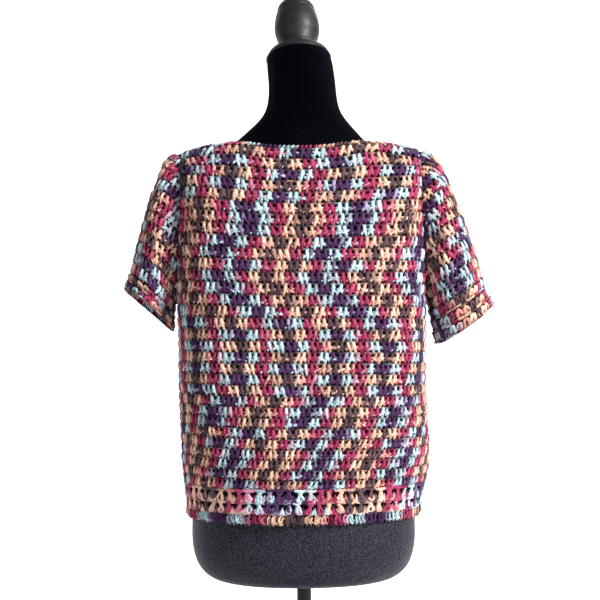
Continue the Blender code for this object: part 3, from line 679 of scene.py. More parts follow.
def mesh_object(name, vertices, faces, material):
    """A smooth object of one material, with faces that all have as many corners."""
    mesh = bpy.data.meshes.new(name)
    mesh.vertices.add(len(vertices))
    mesh.vertices.foreach_set("co", np.asarray(vertices, np.float32).ravel())
    mesh.loops.add(faces.size)
    mesh.loops.foreach_set("vertex_index", faces.astype(np.int32).ravel())
    mesh.polygons.add(len(faces))
    mesh.polygons.foreach_set("loop_start", np.arange(0, faces.size, faces.shape[1], dtype=np.int32))
    mesh.update(calc_edges=True)
    mesh.validate()
    mesh.materials.append(material)
    mesh.shade_smooth()
    made = bpy.data.objects.new(name, mesh)
    bpy.context.scene.collection.objects.link(made)
    return made


def colour_attribute(piece, colours):
    layer = piece.data.color_attributes.new("yarn_colour", "FLOAT_COLOR", "POINT")
    rgba = np.concatenate([colours, np.ones((len(colours), 1))], axis=1)
    layer.data.foreach_set("color", rgba.astype(np.float32).ravel())


def yarn_colours_of(piece):
    return read_values(piece.data.color_attributes["yarn_colour"].data, "color", 4)[:, :3]


def read_values(data, field, width):
    values = np.empty(len(data) * width, np.float32)
    data.foreach_get(field, values)
    return values.reshape(-1, width)


def twist_attribute(piece, twists):
    layer = piece.data.attributes.new("yarn_twist", "FLOAT_VECTOR", "POINT")
    values = np.concatenate([twists, np.zeros((len(twists), 1))], axis=1)
    layer.data.foreach_set("vector", values.astype(np.float32).ravel())


def stitch_columns(lattice, row, offset, count, least):
    """Where a row's stitches are: count of them all round, or those that fit and are tall enough."""
    if count:
        return np.arange(count) + 0.5 + offset
    at = (row + 0.5) / lattice.dv
    low, high = (np.interp(at, np.arange(len(ends)), ends) for ends in (lattice.low, lattice.high))
    columns = np.arange(math.ceil(low - 0.5 - offset), math.floor(high + 0.5 - offset)) + 0.5 + offset
    if least:
        foot, _ = on_lattice(lattice, columns, row + 0 * columns)
        head, _ = on_lattice(lattice, columns, row + 1 + 0 * columns)
        columns = columns[np.linalg.norm(head - foot, axis=1) > least]
    return columns


def stitch_colours(template, columns, w, start, yarn_per_stitch, thread):
    """The yarn's colour at each vertex, with painted highlight where it is raised and painted shade towards
    the cloth.
    """
    n, count = len(columns), template.strands.max() + 1
    drawn = YARN_PLAY * rng.normal(0, 1, (n, count))[:, template.strands]
    position = (columns[:, None] + template.places[None, :] + drawn) * yarn_per_stitch - start
    colours = np.broadcast_to(thread, (*w.shape, 3)) if thread else yarn_colour(position)
    # Painted highlight: raised parts paled towards white, more on pale yarn.
    painted_highlight = PAINTED_HIGHLIGHT * np.interp(w, PAINTED_HIGHLIGHT_LIFTS, (0, 1))[..., None] * colours.mean(axis=-1, keepdims=True)
    uneven = 1 + STITCH_SHADE_PLAY * rng.normal(0, 1, (n, 1))
    uneven = uneven + STRAND_SHADE_PLAY * rng.normal(0, 1, (n, count))[:, template.strands]
    # Painted shade and highlight by each strand's height off the cloth, times a random tone.
    shade = np.interp(w, PAINTED_SHADE_LIFTS, PAINTED_SHADE_AND_HIGHLIGHT) * np.maximum(uneven, DARKEST)
    return (colours + (1 - colours) * painted_highlight) * shade[..., None]


def lay_stitches(name, lattice, rows, starts, strands, lift=1.0, zigzag=0.18, count=None, yarn_per_stitch=1.0,
                 thread=None, looseness=1.0, least=None):
    """One joined mesh of stitches on a lattice. starts gives each row's place in the yarn's repeat; thread
    is a plain colour to use instead."""
    pieces, base = [], 0
    for row, start in zip(rows, starts):
        if (row + 0.5) / lattice.dv > len(lattice.low) - 1:
            continue
        mirrored = row % 2 == 1
        template = stitch_template(strands, mirrored)
        columns = stitch_columns(lattice, row, zigzag if mirrored else -zigzag, count, least)
        n = len(columns)
        if n < 1:
            continue
        x, y, w = loosened(template, n, looseness)
        points, normals = on_lattice(lattice, columns[:, None] + x / CELL_WIDTH, row + y / CELL_HEIGHT)
        vertices = points + normals * (w * MILLIMETRE * lift)[..., None]
        colours = stitch_colours(template, columns, w, start, yarn_per_stitch, thread)
        faces = copied_faces(template.faces, n, len(template.points)) + base
        twists = np.tile(template.twists, (n, 1))
        pieces.append((vertices.reshape(-1, 3), faces, colours.reshape(-1, 3), twists))
        base += n * len(template.points)
    vertices, faces, colours, twists = (np.concatenate(column) for column in zip(*pieces))
    made = mesh_object(name, vertices, faces[:, ::-1] if lattice.outward < 0 else faces, YARN)
    # The colours hold the yarn's dye with its painted shade and highlight.
    colour_attribute(made, np.clip(colours, 0, 1))
    twist_attribute(made, twists)
    return made


# ---------------------------------------------------------------- materials


def new_material(name, inputs):
    material = bpy.data.materials.new(name)
    material.use_nodes = True
    tree = material.node_tree
    shader = tree.nodes["Principled BSDF"]
    set_inputs(tree, shader, inputs)
    return material, tree, shader


def set_inputs(tree, node, inputs):
    """Links each input that is given another node's output, and sets the others."""
    for name, value in inputs.items():
        if isinstance(value, bpy.types.NodeSocket):
            tree.links.new(value, node.inputs[name])
        else:
            node.inputs[name].default_value = value


def add_node(tree, kind, inputs, output, **settings):
    """One output of a new node."""
    node = tree.nodes.new("ShaderNode" + kind)
    for name, value in settings.items():
        setattr(node, name, value)
    set_inputs(tree, node, inputs)
    return node.outputs[output]


def calculated(tree, operation, *values):
    return add_node(tree, "Math", dict(enumerate(values)), "Value", operation=operation)


def ranged(tree, value, old, new):
    """The value as it goes from the old range to the new one, and no further."""
    inputs = {"Value": value, "From Min": old[0], "From Max": old[1], "To Min": new[0], "To Max": new[1]}
    return add_node(tree, "MapRange", inputs, "Result")


def own_axis(tree, axis, source=None):
    """The object's own X, Y or Z, or a part of another vector."""
    if source is None:
        source = add_node(tree, "TexCoord", {}, "Object")
    return add_node(tree, "SeparateXYZ", {"Vector": source}, axis)


def mixed(tree, factor, low, high):
    """From one colour to another. Each is three numbers, or another mix."""
    ends = [(*end, 1.0) if isinstance(end, tuple) else end for end in (low, high)]
    inputs = {"Factor": factor, "A": ends[0], "B": ends[1]}
    return add_node(tree, "Mix", inputs, "Result", data_type="RGBA")


def noise(tree, scale, detail=3.0, stretch=(1.0, 1.0, 1.0)):
    """Noise over the object's own coordinates."""
    own = add_node(tree, "TexCoord", {}, "Object")
    place = add_node(tree, "Mapping", {"Vector": own, "Scale": stretch}, "Vector")
    return add_node(tree, "TexNoise", {"Vector": place, "Scale": scale, "Detail": detail}, "Fac")


# Where nearly all of a noise's values lie.
NOISE_RANGE = (0.3, 0.7)


def spread_noise(tree, scale, low=0.0, high=1.0, **settings):
    return ranged(tree, noise(tree, scale, **settings), NOISE_RANGE, (low, high))


def bumped(tree, height, strength, distance):
    inputs = {"Height": height, "Strength": strength, "Distance": distance}
    return add_node(tree, "Bump", inputs, "Normal")


def tinted(tree, shade):
    """The yarn's own colour, made lighter or darker."""
    colour = add_node(tree, "Attribute", {}, "Color", attribute_name="yarn_colour")
    inputs = {"Factor": 1.0, "A": colour, "B": shade}
    return add_node(tree, "Mix", inputs, "Result", data_type="RGBA", blend_type="MULTIPLY")


# The yarn's plies, and how far they turn round it in a millimetre, in radians.
PLIES = 3.0
PLY_TURN = 1.9


def yarn_material():
    """Soft yarn of three plies, heathered along its colour."""
    material, tree, shader = new_material("yarn", {
        "Roughness": 0.7, "Specular IOR Level": 0.25, "Sheen Weight": 0.06, "Sheen Roughness": 0.5})
    twist = add_node(tree, "Attribute", {}, "Vector", attribute_name="yarn_twist")
    plies = calculated(tree, "MULTIPLY", own_axis(tree, "Y", twist), PLIES)
    run = calculated(tree, "MULTIPLY_ADD", own_axis(tree, "X", twist), PLY_TURN, plies)
    set_inputs(tree, shader, {
        "Base Color": tinted(tree, spread_noise(tree, 620.0, 0.58, 1.42)),
        "Normal": bumped(tree, calculated(tree, "SINE", run), strength=0.7, distance=0.0005)})
    return material


def shade_sheet_material():
    """The sheet behind the stitches, matt and uneven, which shows as painted shade in the gaps between them.
    """
    material, tree, shader = new_material("painted_shade_ground", {"Roughness": 1.0, "Specular IOR Level": 0.0})
    fluff = noise(tree, 260.0)
    set_inputs(tree, shader, {
        "Base Color": tinted(tree, ranged(tree, fluff, (0.35, 0.65), (0.5, 1.4))),
        "Normal": bumped(tree, fluff, strength=0.8, distance=0.002)})
    return material


# The heights where the jersey is at its darkest and most matt, and where it is at its greyest and shiniest.
JERSEY_DARK_Z = 0.95
JERSEY_GREY_Z = 0.36
# The knit's ribs round the form, and its loops up it in radians a metre.
JERSEY_RIBS = 260.0
JERSEY_LOOPS = 4200.0


def jersey_material():
    """Black stretch jersey: fine ribs up the form, speckled, and greyer and shinier towards the hips."""
    material, tree, shader = new_material("jersey", {
        "Sheen Weight": 0.06, "Sheen Roughness": 0.4, "Sheen Tint": (0.55, 0.58, 0.80, 1.0)})
    height = own_axis(tree, "Z")
    turn = calculated(tree, "ARCTAN2", own_axis(tree, "Y"), own_axis(tree, "X"))
    ribs = calculated(tree, "SINE", calculated(tree, "MULTIPLY", turn, JERSEY_RIBS))
    loops = calculated(tree, "SINE", calculated(tree, "MULTIPLY", height, JERSEY_LOOPS))
    knit = calculated(tree, "MULTIPLY_ADD", loops, 0.5, ribs)
    speckle = spread_noise(tree, 520.0, detail=2.0)
    # Speckled colours at the neck and at the hips: the jersey is greyer the lower it is.
    new = mixed(tree, speckle, (0.0002, 0.0002, 0.0004), (0.0014, 0.0014, 0.0036))
    paler_tone = mixed(tree, speckle, (0.0020, 0.0020, 0.0035), (0.0340, 0.0340, 0.0540))
    shine = ranged(tree, height, (JERSEY_DARK_Z, JERSEY_GREY_Z), (0.0, 0.4))
    set_inputs(tree, shader, {
        "Specular IOR Level": calculated(tree, "MULTIPLY_ADD", shine, speckle, 0.01),
        "Roughness": ranged(tree, height, (JERSEY_DARK_Z, 0.5), (0.95, 0.5)),
        "Base Color": mixed(tree, ranged(tree, height, (JERSEY_DARK_Z, JERSEY_GREY_Z), (0.0, 1.0)), new, paler_tone),
        "Normal": bumped(tree, calculated(tree, "ADD", knit, speckle), strength=0.5, distance=0.0004)})
    return material


def paint_material():
    """Dark grey satin paint on turned wood: brushed faintly round, with soft uneven gloss."""
    material, tree, shader = new_material("satin_paint", {"Coat Weight": 0.08, "Coat Roughness": 0.35})
    paler_tone = spread_noise(tree, 60.0, stretch=(1.0, 1.0, 2.5))
    brushed = spread_noise(tree, 90.0, stretch=(0.4, 0.4, 14.0))
    set_inputs(tree, shader, {
        "Base Color": mixed(tree, paler_tone, (0.003, 0.003, 0.003), (0.011, 0.011, 0.011)),
        "Roughness": spread_noise(tree, 110.0, 0.44, 0.66),
        "Normal": bumped(tree, brushed, strength=0.25, distance=0.0005)})
    return material


def steel_material():
    """Black powder-coated steel."""
    material, tree, shader = new_material("black_steel", {"Metallic": 0.3})
    grain = spread_noise(tree, 900.0)
    set_inputs(tree, shader, {
        "Base Color": mixed(tree, grain, (0.004, 0.004, 0.005), (0.011, 0.011, 0.012)),
        "Roughness": spread_noise(tree, 40.0, 0.40, 0.58),
        "Normal": bumped(tree, grain, strength=0.2, distance=0.0002)})
    return material


YARN = yarn_material()
SHADE_SHEET = shade_sheet_material()

# ---------------------------------------------------------------- the garment's pieces

# The painted-shade sheet's thickness, and how far its middle lies inside the cloth's.
SHEET_THICKNESS = 0.0012
SHEET_INSET = 0.0006
# The sheet is coloured from every so many of the stitches' vertices and darkened as painted shade: its outer
# side the more, the brighter the yarn is, and its inner side hardly.
TINT_STEP = 23
GROUND_BRIGHTNESS = (0.04, 0.15, 0.50)
GROUND_PAINTED_SHADE = (0.22, 0.12, 0.04)
INSIDE_PAINTED_SHADE = 0.7
# How far across a panel its sheet reaches: not quite to its edges, which the stitches cover.
SHEET_EDGE = 0.985
FRONT_SHEET_EDGE = 0.01
# How far the stitches stand off the cloth, against their templates.
BODY_LIFT = 0.8
# The points round a sleeve or cuff, for its stitches.
RING_POINTS = 144


def full_turn(points):
    """Turns round a sleeve from its underside, over its top at 0, back to the underside."""
    return np.linspace(-math.pi, math.pi, points + 1)


def panel_lattice(side, hand, shares):
    level_rows = BODY_ROWS - (1 if side == "back" else TOP_ROWS)
    curves, heights = panel_curves(side, hand, shares, np.arange(level_rows / DV + 1) * DV)
    heights = np.minimum(heights, STITCH_WIDTHS[-1].height)
    widths = smooth(STITCH_WIDTHS, "width", heights)
    if side == "back":
        leans = smooth(STITCH_WIDTHS, "lean", heights)
        return lattice_from_curves(curves, (len(shares) - 1) / 2, widths, DV, 1, leans), curves
    origins = [len(curve) - 1 if hand > 0 else 0 for curve in curves]
    return lattice_from_curves(curves, origins, widths, DV, -1), curves


def sheet_mesh(name, points, outward, closed=False):
    """A thin sheet just inside a grid of points, with rims along its open edges."""
    around = np.concatenate([points[:, -1:], points, points[:, :1]], axis=1) if closed else points
    normals = grid_normals(around, outward)
    if closed:
        normals = normals[:, 1:-1]
    middle = points - normals * SHEET_INSET
    outer = (middle + normals * SHEET_THICKNESS / 2).reshape(-1, 3)
    inner = (middle - normals * SHEET_THICKNESS / 2).reshape(-1, 3)
    rows, columns = points.shape[:2]
    count = rows * columns
    index = np.arange(count).reshape(rows, columns)
    if closed:
        index = np.concatenate([index, index[:, :1]], axis=1)
    edges = [index[0][::-1], index[-1]]
    if not closed:
        edges += [index[:, 0], index[::-1, -1]]
    quads = grid_faces(rows, columns, closed)
    rims = [np.stack([edge[:-1], edge[1:], edge[1:] + count, edge[:-1] + count], axis=-1) for edge in edges]
    faces = np.concatenate([quads, quads[:, ::-1] + count, *rims])
    if outward < 0:
        faces = faces[:, ::-1]
    return mesh_object(name, np.concatenate([outer, inner]), faces, SHADE_SHEET)


def panel_sheet(name, side, hand, ends, columns, rows):
    """A panel's backing sheet from the band up, between two shares of its width."""
    row = np.linspace(row_at_height(BAND_TOP_Z), 1, rows)[:, None]
    around = panel_around(side, hand, np.linspace(*ends, columns), row)
    return sheet_mesh(name, body_points(side, around, row), 1 if side == "back" else -hand)


def tint_sheet(sheet, stitches):
    """Colour the sheet like the stitches over it, darkened as painted shade: deep between them, less on the
    wearer's side.
    """
    points = np.concatenate([read_values(piece.data.vertices, "co", 3)[::TINT_STEP] for piece in stitches])
    colours = np.concatenate([yarn_colours_of(piece)[::TINT_STEP] for piece in stitches])
    tree = KDTree(len(points))
    for i, point in enumerate(points):
        tree.insert(point, i)
    tree.balance()
    tint = colours[[tree.find(vertex.co)[1] for vertex in sheet.data.vertices]]
    outer = len(tint) // 2
    brightness = tint[:outer].mean(axis=1, keepdims=True)
    # Painted shade on both sides of the sheet, deeper on its outer side.
    tint[:outer] *= np.interp(brightness, GROUND_BRIGHTNESS, GROUND_PAINTED_SHADE)
    tint[outer:] *= INSIDE_PAINTED_SHADE
    colour_attribute(sheet, tint)


FIBRE_LENGTH = (0.002, 0.006)
FIBRE_RADIUS = 0.00011
FIBRES_PER_VERTEX = 0.0055
# Where a hair's rings are along it, and how thick it is there.
FIBRE_RINGS = ((0.0, 1.0), (0.5, 0.85), (1.0, 0.2))
FIBRE_SIDES = 3
# How far the hairs stray from the normal, how much they bend, and how much paler than the yarn they are made,
# as painted highlight.
FIBRE_STRAY = 0.6
FIBRE_BEND = 0.5
FIBRE_PAINTED_HIGHLIGHT = 1.3
# Any direction, to find one that is square to a hair.
ANY_WAY = (0.3, 0.2, 0.9)


def loose_fibres(name, stitches, fuzz):
    """Short curved hairs that stand off the yarn, each a three-sided tube that narrows to its end."""
    chosen = []
    for piece in stitches:
        vertices = piece.data.vertices
        picked = rng.random(len(vertices)) < FIBRES_PER_VERTEX * fuzz
        columns = read_values(vertices, "co", 3), read_values(vertices, "normal", 3), yarn_colours_of(piece)
        chosen.append([column[picked] for column in columns])
    points, normals, colours = (np.concatenate(column) for column in zip(*chosen))
    n = len(points)
    way = unit(normals + rng.normal(0, FIBRE_STRAY, (n, 3)))
    bend = rng.normal(0, FIBRE_BEND, (n, 3))
    length = rng.uniform(*FIBRE_LENGTH, (n, 1))
    aside = unit(np.cross(way, ANY_WAY))
    other = np.cross(way, aside)
    rings = []
    for t, narrowing in FIBRE_RINGS:
        middle = points + (way * t + bend * t * t * 0.5) * length
        radius = FIBRE_RADIUS * narrowing * math.sqrt(fuzz)
        for angle in np.arange(FIBRE_SIDES) * 2 * math.pi / FIBRE_SIDES:
            rings.append(middle + (aside * math.cos(angle) + other * math.sin(angle)) * radius)
    size = len(rings)
    faces = copied_faces(grid_faces(len(FIBRE_RINGS), FIBRE_SIDES, True), n, size)
    made = mesh_object(name, np.stack(rings, axis=1).reshape(-1, 3), faces, YARN)
    # The hairs take the stitches' colours, painted shade and highlight included, paled further as painted
    # highlight.
    colour_attribute(made, np.clip(np.repeat(colours * FIBRE_PAINTED_HIGHLIGHT, size, axis=0), 0, 1))
    return made


def finish_cloth(sheet, stitches, node, fuzz=1.0):
    """Tints a sheet with painted shade, roughens its stitches and names them all to the frame."""
    tint_sheet(sheet, stitches)
    stitches.append(loose_fibres(node + "_fibres", stitches, fuzz))
    for piece in [sheet] + stitches:
        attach(piece, "root")
    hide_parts(node)


SEAM_WIDTH = 0.005
SEAM_STITCH = 0.0075
SEAM_STEPS = 140
# How much of the seam's width lies beyond the panel's edge, how near the shoulder's top it ends, and a
# share of the panel's width a little inside the edge.
SEAM_OVERHANG = 0.55
SEAM_END = 0.995
INSIDE_EDGE = 0.988


def seam_stitches(hand, word):
    """The whipped seam up the side and round the back of the armhole to the shoulder."""
    rows = np.linspace(row_at_height(BAND_TOP_Z), SEAM_END, SEAM_STEPS)
    edge, inside = (body_points("back", hand * share, rows) for share in (1, INSIDE_EDGE))
    across = unit(inside - edge) * SEAM_WIDTH
    curves = [edge + across * (v - SEAM_OVERHANG) for v in (0.0, 0.5, 1.0)][::-hand]
    lattice = lattice_from_curves(curves, 0, SEAM_STITCH, dv=0.5, outward=1)
    return lay_stitches("seam_" + word, lattice, range(1), [0.0], EDGE_STITCH, lift=0.5, thread=SEAM_THREAD)


def lay_panel(name, lattice, rows, starts):
    return lay_stitches(name, lattice, rows, starts, TALL_STITCH, lift=BODY_LIFT, least=LEAST_STITCH)


def make_back():
    lattice, _ = panel_lattice("back", 1, np.linspace(-1, 1, 161))
    starts = BACK_ROW_STARTS[::-1] + SHORT_ROW_STARTS
    half = BODY_ROWS // 2
    stitches = [lay_panel("back_lower_stitches", lattice, range(half), starts),
                lay_panel("back_upper_stitches", lattice, range(half, len(starts)), starts[half:])]
    stitches += [seam_stitches(hand, word) for hand, word in HANDS]
    sheet = panel_sheet("back_sheet", "back", 1, (-SHEET_EDGE, SHEET_EDGE), columns=81, rows=61)
    finish_cloth(sheet, stitches, "back_panel")


# Where the purple falls in even and in odd rows of the fronts, and how far it drifts from row to row.
FRONT_STARTS = ((9, -0.35), (4, 0.35))


def make_front(hand, word):
    lattice, curves = panel_lattice("front", hand, np.linspace(0, 1, 81))
    rows = range(int(len(curves) * DV))
    starts = [FRONT_STARTS[row % 2][0] + FRONT_STARTS[row % 2][1] * row for row in rows]
    laid = lay_panel("front_%s_stitches" % word, lattice, rows, starts)
    sheet = panel_sheet("front_%s_sheet" % word, "front", hand, (FRONT_SHEET_EDGE, SHEET_EDGE), columns=33,
                        rows=49)
    finish_cloth(sheet, [laid], "front_" + word)


SLEEVE_ROW = 0.0152
SLEEVE_STITCH = 0.0079
# Where the middle of the purple falls in each row, in stitches round from the sleeve's top, cuff end first.
SLEEVE_ROW_STARTS = {
    1: (2.2, 10.7, 11.6, 9.8, 5.3, 6.8, 3.0, 13.4, 12.6, 10.0, 3.1, 8.1, 12.5, 4.0),
    -1: (11.1, 8.9, 4.2, 0.3, 2.8, 13.0, 13.1, 13.4, 8.0, 9.7, 9.6, 6.5, 3.0, 12.0),
}
# How far a row may run past the armhole's edge, in rows, and how far from it the sheet starts, in rings.
ROW_OVERRUN = 0.6
SLEEVE_START = 0.03
# How far short of the sleeve's top the lines end, and how many steps the shortest of them has.
LAST_LINE_GAP = 0.002
SHORTEST_LINE = 6


def sleeve_lattice(hand):
    """Rows parallel to the cuff's seam, from it up to the armhole, and how many lines they have."""
    turns = full_turn(RING_POINTS)
    surface = sleeve_surface(hand, turns, 0, CUFF_RING + 1, 80)[::-1]
    lengths = lengths_down(surface)
    curves, origins = [], []
    middle = len(turns) // 2
    for target in np.arange(0, lengths[-1].max() - LAST_LINE_GAP, SLEEVE_ROW * DV):
        short = np.flatnonzero(lengths[-1] < target - ROW_OVERRUN * SLEEVE_ROW)
        low = short[short < middle].max(initial=-1) + 1
        high = short[short > middle].min(initial=len(turns)) - 1
        if high - low < SHORTEST_LINE:
            break
        curves.append(np.array([[np.interp(target, lengths[:, j], surface[:, j, axis]) for axis in range(3)]
                                for j in range(low, high + 1)]))
        origins.append(middle - low)
    return lattice_from_curves(curves, origins, SLEEVE_STITCH, DV, -hand), len(curves)


def make_sleeve(hand, word):
    lattice, lines = sleeve_lattice(hand)
    rows = range(hand > 0, int(lines * DV))
    starts = SLEEVE_ROW_STARTS[hand][rows[0]:]
    laid = [lay_stitches("sleeve_%s_stitches" % word, lattice, rows, starts, TALL_STITCH, lift=BODY_LIFT)]
    if hand > 0:
        laid.append(lay_stitches("sleeve_right_loops", lattice, range(1), SLEEVE_ROW_STARTS[hand],
                                 LOOP_STITCH, lift=1.1))
    surface = sleeve_surface(hand, full_turn(80)[:-1], SLEEVE_START, CUFF_RING + 1, 40)
    sheet = sheet_mesh("sleeve_%s_sheet" % word, surface, hand, closed=True)
    finish_cloth(sheet, laid, "sleeve_" + word)


CUFF_ROWS = 2
CUFF_STITCH = 0.0108
CUFF_STARTS = {1: (3.8, 4.6), -1: (9.6, 2.5)}
CUFF_EDGE_STITCH = 0.0070
# How much of the cuff's last ring its edge takes up.
CUFF_RIM = 0.35
# How many points of a closed ring are repeated at each end, so that its stitches join up.
OVERLAP = 12


def cuff_lattice(hand, first, last, rows, dv, stitch):
    """Rounds from the cuff's edge up towards the sleeve, and how many stitches are in each."""
    turns = full_turn(RING_POINTS)
    step = turns[1] - turns[0]
    wide = np.concatenate([turns[0] - step * np.arange(OVERLAP, 0, -1), turns,
                           turns[-1] + step * np.arange(1, OVERLAP + 1)])
    surface = sleeve_surface(hand, wide, first, last, round(rows / dv) + 1)[::-1]
    around = np.linalg.norm(np.diff(surface[:, OVERLAP:-OVERLAP], axis=1), axis=2).sum(axis=1)
    count = int(round(around.mean() / stitch))
    return lattice_from_curves(surface, OVERLAP, around / count, dv, -hand, inset=0), count


def make_cuff(hand, word):
    last = len(SLEEVE_RINGS[hand])
    starts = CUFF_STARTS[hand]
    outer, count = cuff_lattice(hand, CUFF_RING + 1, last, CUFF_ROWS, DV, CUFF_STITCH)
    inner = outer._replace(normals=-outer.normals, outward=-outer.outward)
    laid = []
    for name, lattice, lift in (("stitches", outer, 1.0), ("inside", inner, 0.5)):
        laid.append(lay_stitches("cuff_%s_%s" % (word, name), lattice, range(CUFF_ROWS), starts, LOOP_STITCH,
                                 count=count, yarn_per_stitch=1.3, zigzag=0.25, lift=lift))
    rim, count = cuff_lattice(hand, last - CUFF_RIM, last, 1, 1, CUFF_EDGE_STITCH)
    laid.append(lay_stitches("cuff_%s_edge" % word, rim, range(1), starts, EDGE_STITCH, count=count,
                             yarn_per_stitch=0.8, lift=0.6))
    surface = sleeve_surface(hand, full_turn(72)[:-1], CUFF_RING + 1, last, 12)
    sheet = sheet_mesh("cuff_%s_sheet" % word, surface, hand, closed=True)
    finish_cloth(sheet, laid, "cuff_" + word)


# The rows' edges up the band, with one more line below the hem and one above the band.
BAND_LINES = (HEM_Z - 0.0135, HEM_Z, 0.4065, 0.4225, BAND_TOP_Z, BAND_TOP_Z + 0.0165)
BAND_STITCH = 0.0137
HEM_EDGE_STITCH = 0.0056
# Where the middle of the purple falls in the band's two rows, and in its edge row.
BAND_STARTS = (-2.9, -2.2)
HEM_EDGE_START = 7.6


def band_curve(z, steps=60):
    row = row_at_height(z)
    edge = float(front_edge_around(row))
    left = body_points("front", -np.linspace(edge, 1, steps), row)
    back = body_points("back", np.linspace(-1, 1, 2 * steps), row)
    right = body_points("front", np.linspace(1, edge, steps), row)
    return np.concatenate([left[:-1], back, right[1:]])


def band_lattice(first, last, pitch):
    """The band's rows between two of its lines, with stitches of that width."""
    rows = last - first
    heights = np.interp(np.arange(rows / DV + 1) * DV, np.arange(rows + 1), BAND_LINES[first:last + 1])
    curves = [band_curve(z) for z in heights]
    return lattice_from_curves(curves, (len(curves[0]) - 1) / 2, pitch, DV, 1)


def make_band():
    laid = lay_stitches("band_stitches", band_lattice(2, 5, BAND_STITCH), range(2), BAND_STARTS, BELL_STITCH,
                        zigzag=0.0, yarn_per_stitch=1.05, lift=0.85, looseness=1.3)
    edge = lay_stitches("hem_edge_stitches", band_lattice(0, 3, HEM_EDGE_STITCH), range(1, 2),
                        [HEM_EDGE_START], HEM_STITCH, yarn_per_stitch=0.42, lift=0.75, looseness=2.3)
    heights = np.linspace(HEM_Z, BAND_TOP_Z, 9)
    sheet = sheet_mesh("hem_band_sheet", np.array([band_curve(z, steps=40) for z in heights]), 1)
    finish_cloth(sheet, [laid, edge], "hem_band", fuzz=3.0)


EDGING_WIDTH = 0.008
EDGING_STITCH = 0.0062
EDGING_START = 13.2
# How far apart, around or up the panel, two points are whose difference is the cloth's direction, and how
# often the directions are smoothed.
PROBE = 0.002
SMOOTHINGS = 3


def edging_lines():
    """The panels' edge up the left front, round the neck and down the right front, and the way across it."""
    rows = np.concatenate([np.linspace(-1, 0, 60)[:-1], np.linspace(0, 1, 60)])
    edge = front_edge_around(rows)
    front = np.concatenate([edge, np.linspace(float(edge[-1]), NECK_AROUND, 30)[1:-1]])
    rows = np.concatenate([rows, np.ones(len(front) - len(rows))])
    back = np.linspace(-NECK_AROUND, NECK_AROUND, 90)
    points, normals = [], []
    for side, around, row in (("front", -front, rows), ("back", back, 1 + 0 * back),
                              ("front", front[::-1], rows[::-1])):
        points.append(body_points(side, around, row))
        across = body_points(side, around + PROBE, row) - body_points(side, around - PROBE, row)
        upper, lower = np.minimum(row + PROBE, 1), np.maximum(row - PROBE, -1)
        along = body_points(side, around, upper) - body_points(side, around, lower)
        normals.append(np.cross(across, along) if side == "back" else np.cross(along, across))
    points, normals = np.concatenate(points), unit(np.concatenate(normals))
    for _ in range(SMOOTHINGS):
        normals[1:-1] = normals[:-2] + 2 * normals[1:-1] + normals[2:]
        normals = unit(normals)
    return points, unit(np.cross(normals, unit(np.gradient(points, axis=0))))


def make_edging():
    points, outwards = edging_lines()
    curves = [points + outwards * (SEAM + EDGING_WIDTH * v) for v in np.arange(4) / 3]
    lattice = lattice_from_curves(curves, (len(points) - 1) / 2, EDGING_STITCH, DV, 1)
    laid = lay_stitches("edging_stitches", lattice, range(1), [EDGING_START], EDGE_STITCH,
                        yarn_per_stitch=0.5, lift=0.7)
    sheet = sheet_mesh("neck_edging_sheet", np.array(curves), 1)
    finish_cloth(sheet, [laid], "neck_edging")


make_back()
for make_pair_of in (make_front, make_sleeve, make_cuff):
    for hand, word in HANDS:
        make_pair_of(hand, word)
make_band()
make_edging()

# ---------------------------------------------------------------- the dress form

FormSection = namedtuple(
    "FormSection", "height half_width back_depth front_depth squareness centre_x centre_y tilt",
    defaults=(0, 0, 0)
)
FORM_SECTIONS = [FormSection(*row) for row in (
    (0.3000, 0.0850, 0.0650, 0.0600, 2.2),
    (0.3020, 0.1085, 0.0830, 0.0760, 2.2),
    (0.3080, 0.1285, 0.0980, 0.0890, 2.2),
    (0.3200, 0.1430, 0.1085, 0.0985, 2.2),
    (0.3370, 0.1515, 0.1145, 0.1040, 2.2),
    (0.3600, 0.1555, 0.1180, 0.1080, 2.2),
    (0.3930, 0.1550, 0.1185, 0.1100, 2.2),
    (0.4200, 0.1520, 0.1160, 0.1090, 2.2),
    (0.4500, 0.1455, 0.1100, 0.1050, 2.2),
    (0.4850, 0.1340, 0.0990, 0.0960, 2.2),
    (0.5200, 0.1250, 0.0900, 0.0890, 2.2),
    (0.5550, 0.1230, 0.0870, 0.0880, 2.2),
    (0.6000, 0.1290, 0.0900, 0.0950, 2.2),
    (0.6500, 0.1400, 0.0970, 0.1110, 2.3),
    (0.7000, 0.1490, 0.1030, 0.1250, 2.3),
    (0.7400, 0.1535, 0.1060, 0.1265, 2.4),
    (0.7800, 0.1555, 0.1050, 0.1160, 2.5),
    (0.8200, 0.1560, 0.0975, 0.0980, 2.5),
    (0.8500, 0.1550, 0.0875, 0.0820, 2.4),
    (0.8750, 0.1520, 0.0740, 0.0680, 2.2),
    (0.8895, 0.1480, 0.0625, 0.0570, 2.0),
    (0.8970, 0.1390, 0.0535, 0.0470, 1.8),
    (0.9032, 0.1265, 0.0450, 0.0400, 1.6),
    (0.9070, 0.1040, 0.0440, 0.0400, 1.5),
    (0.9130, 0.0920, 0.0460, 0.0420, 1.5, 0.0000, 0.001, 0.0),
    (0.9280, 0.0760, 0.0485, 0.0440, 1.7, 0.0020, 0.002, 0.0),
    (0.9440, 0.0605, 0.0500, 0.0450, 2.0, 0.0035, 0.003, 0.02),
    (0.9580, 0.0520, 0.0480, 0.0460, 2.0, 0.0038, 0.004, 0.06),
    (0.9750, 0.0482, 0.0470, 0.0465, 2.0, 0.0038, 0.006, 0.14),
    (0.9970, 0.0468, 0.0465, 0.0465, 2.0, 0.0030, 0.008, 0.24),
    (1.0200, 0.0460, 0.0460, 0.0460, 2.0, 0.0005, 0.010, 0.33),
    (1.0310, 0.0440, 0.0440, 0.0440, 2.0, -0.0012, 0.0115, 0.36),
)]
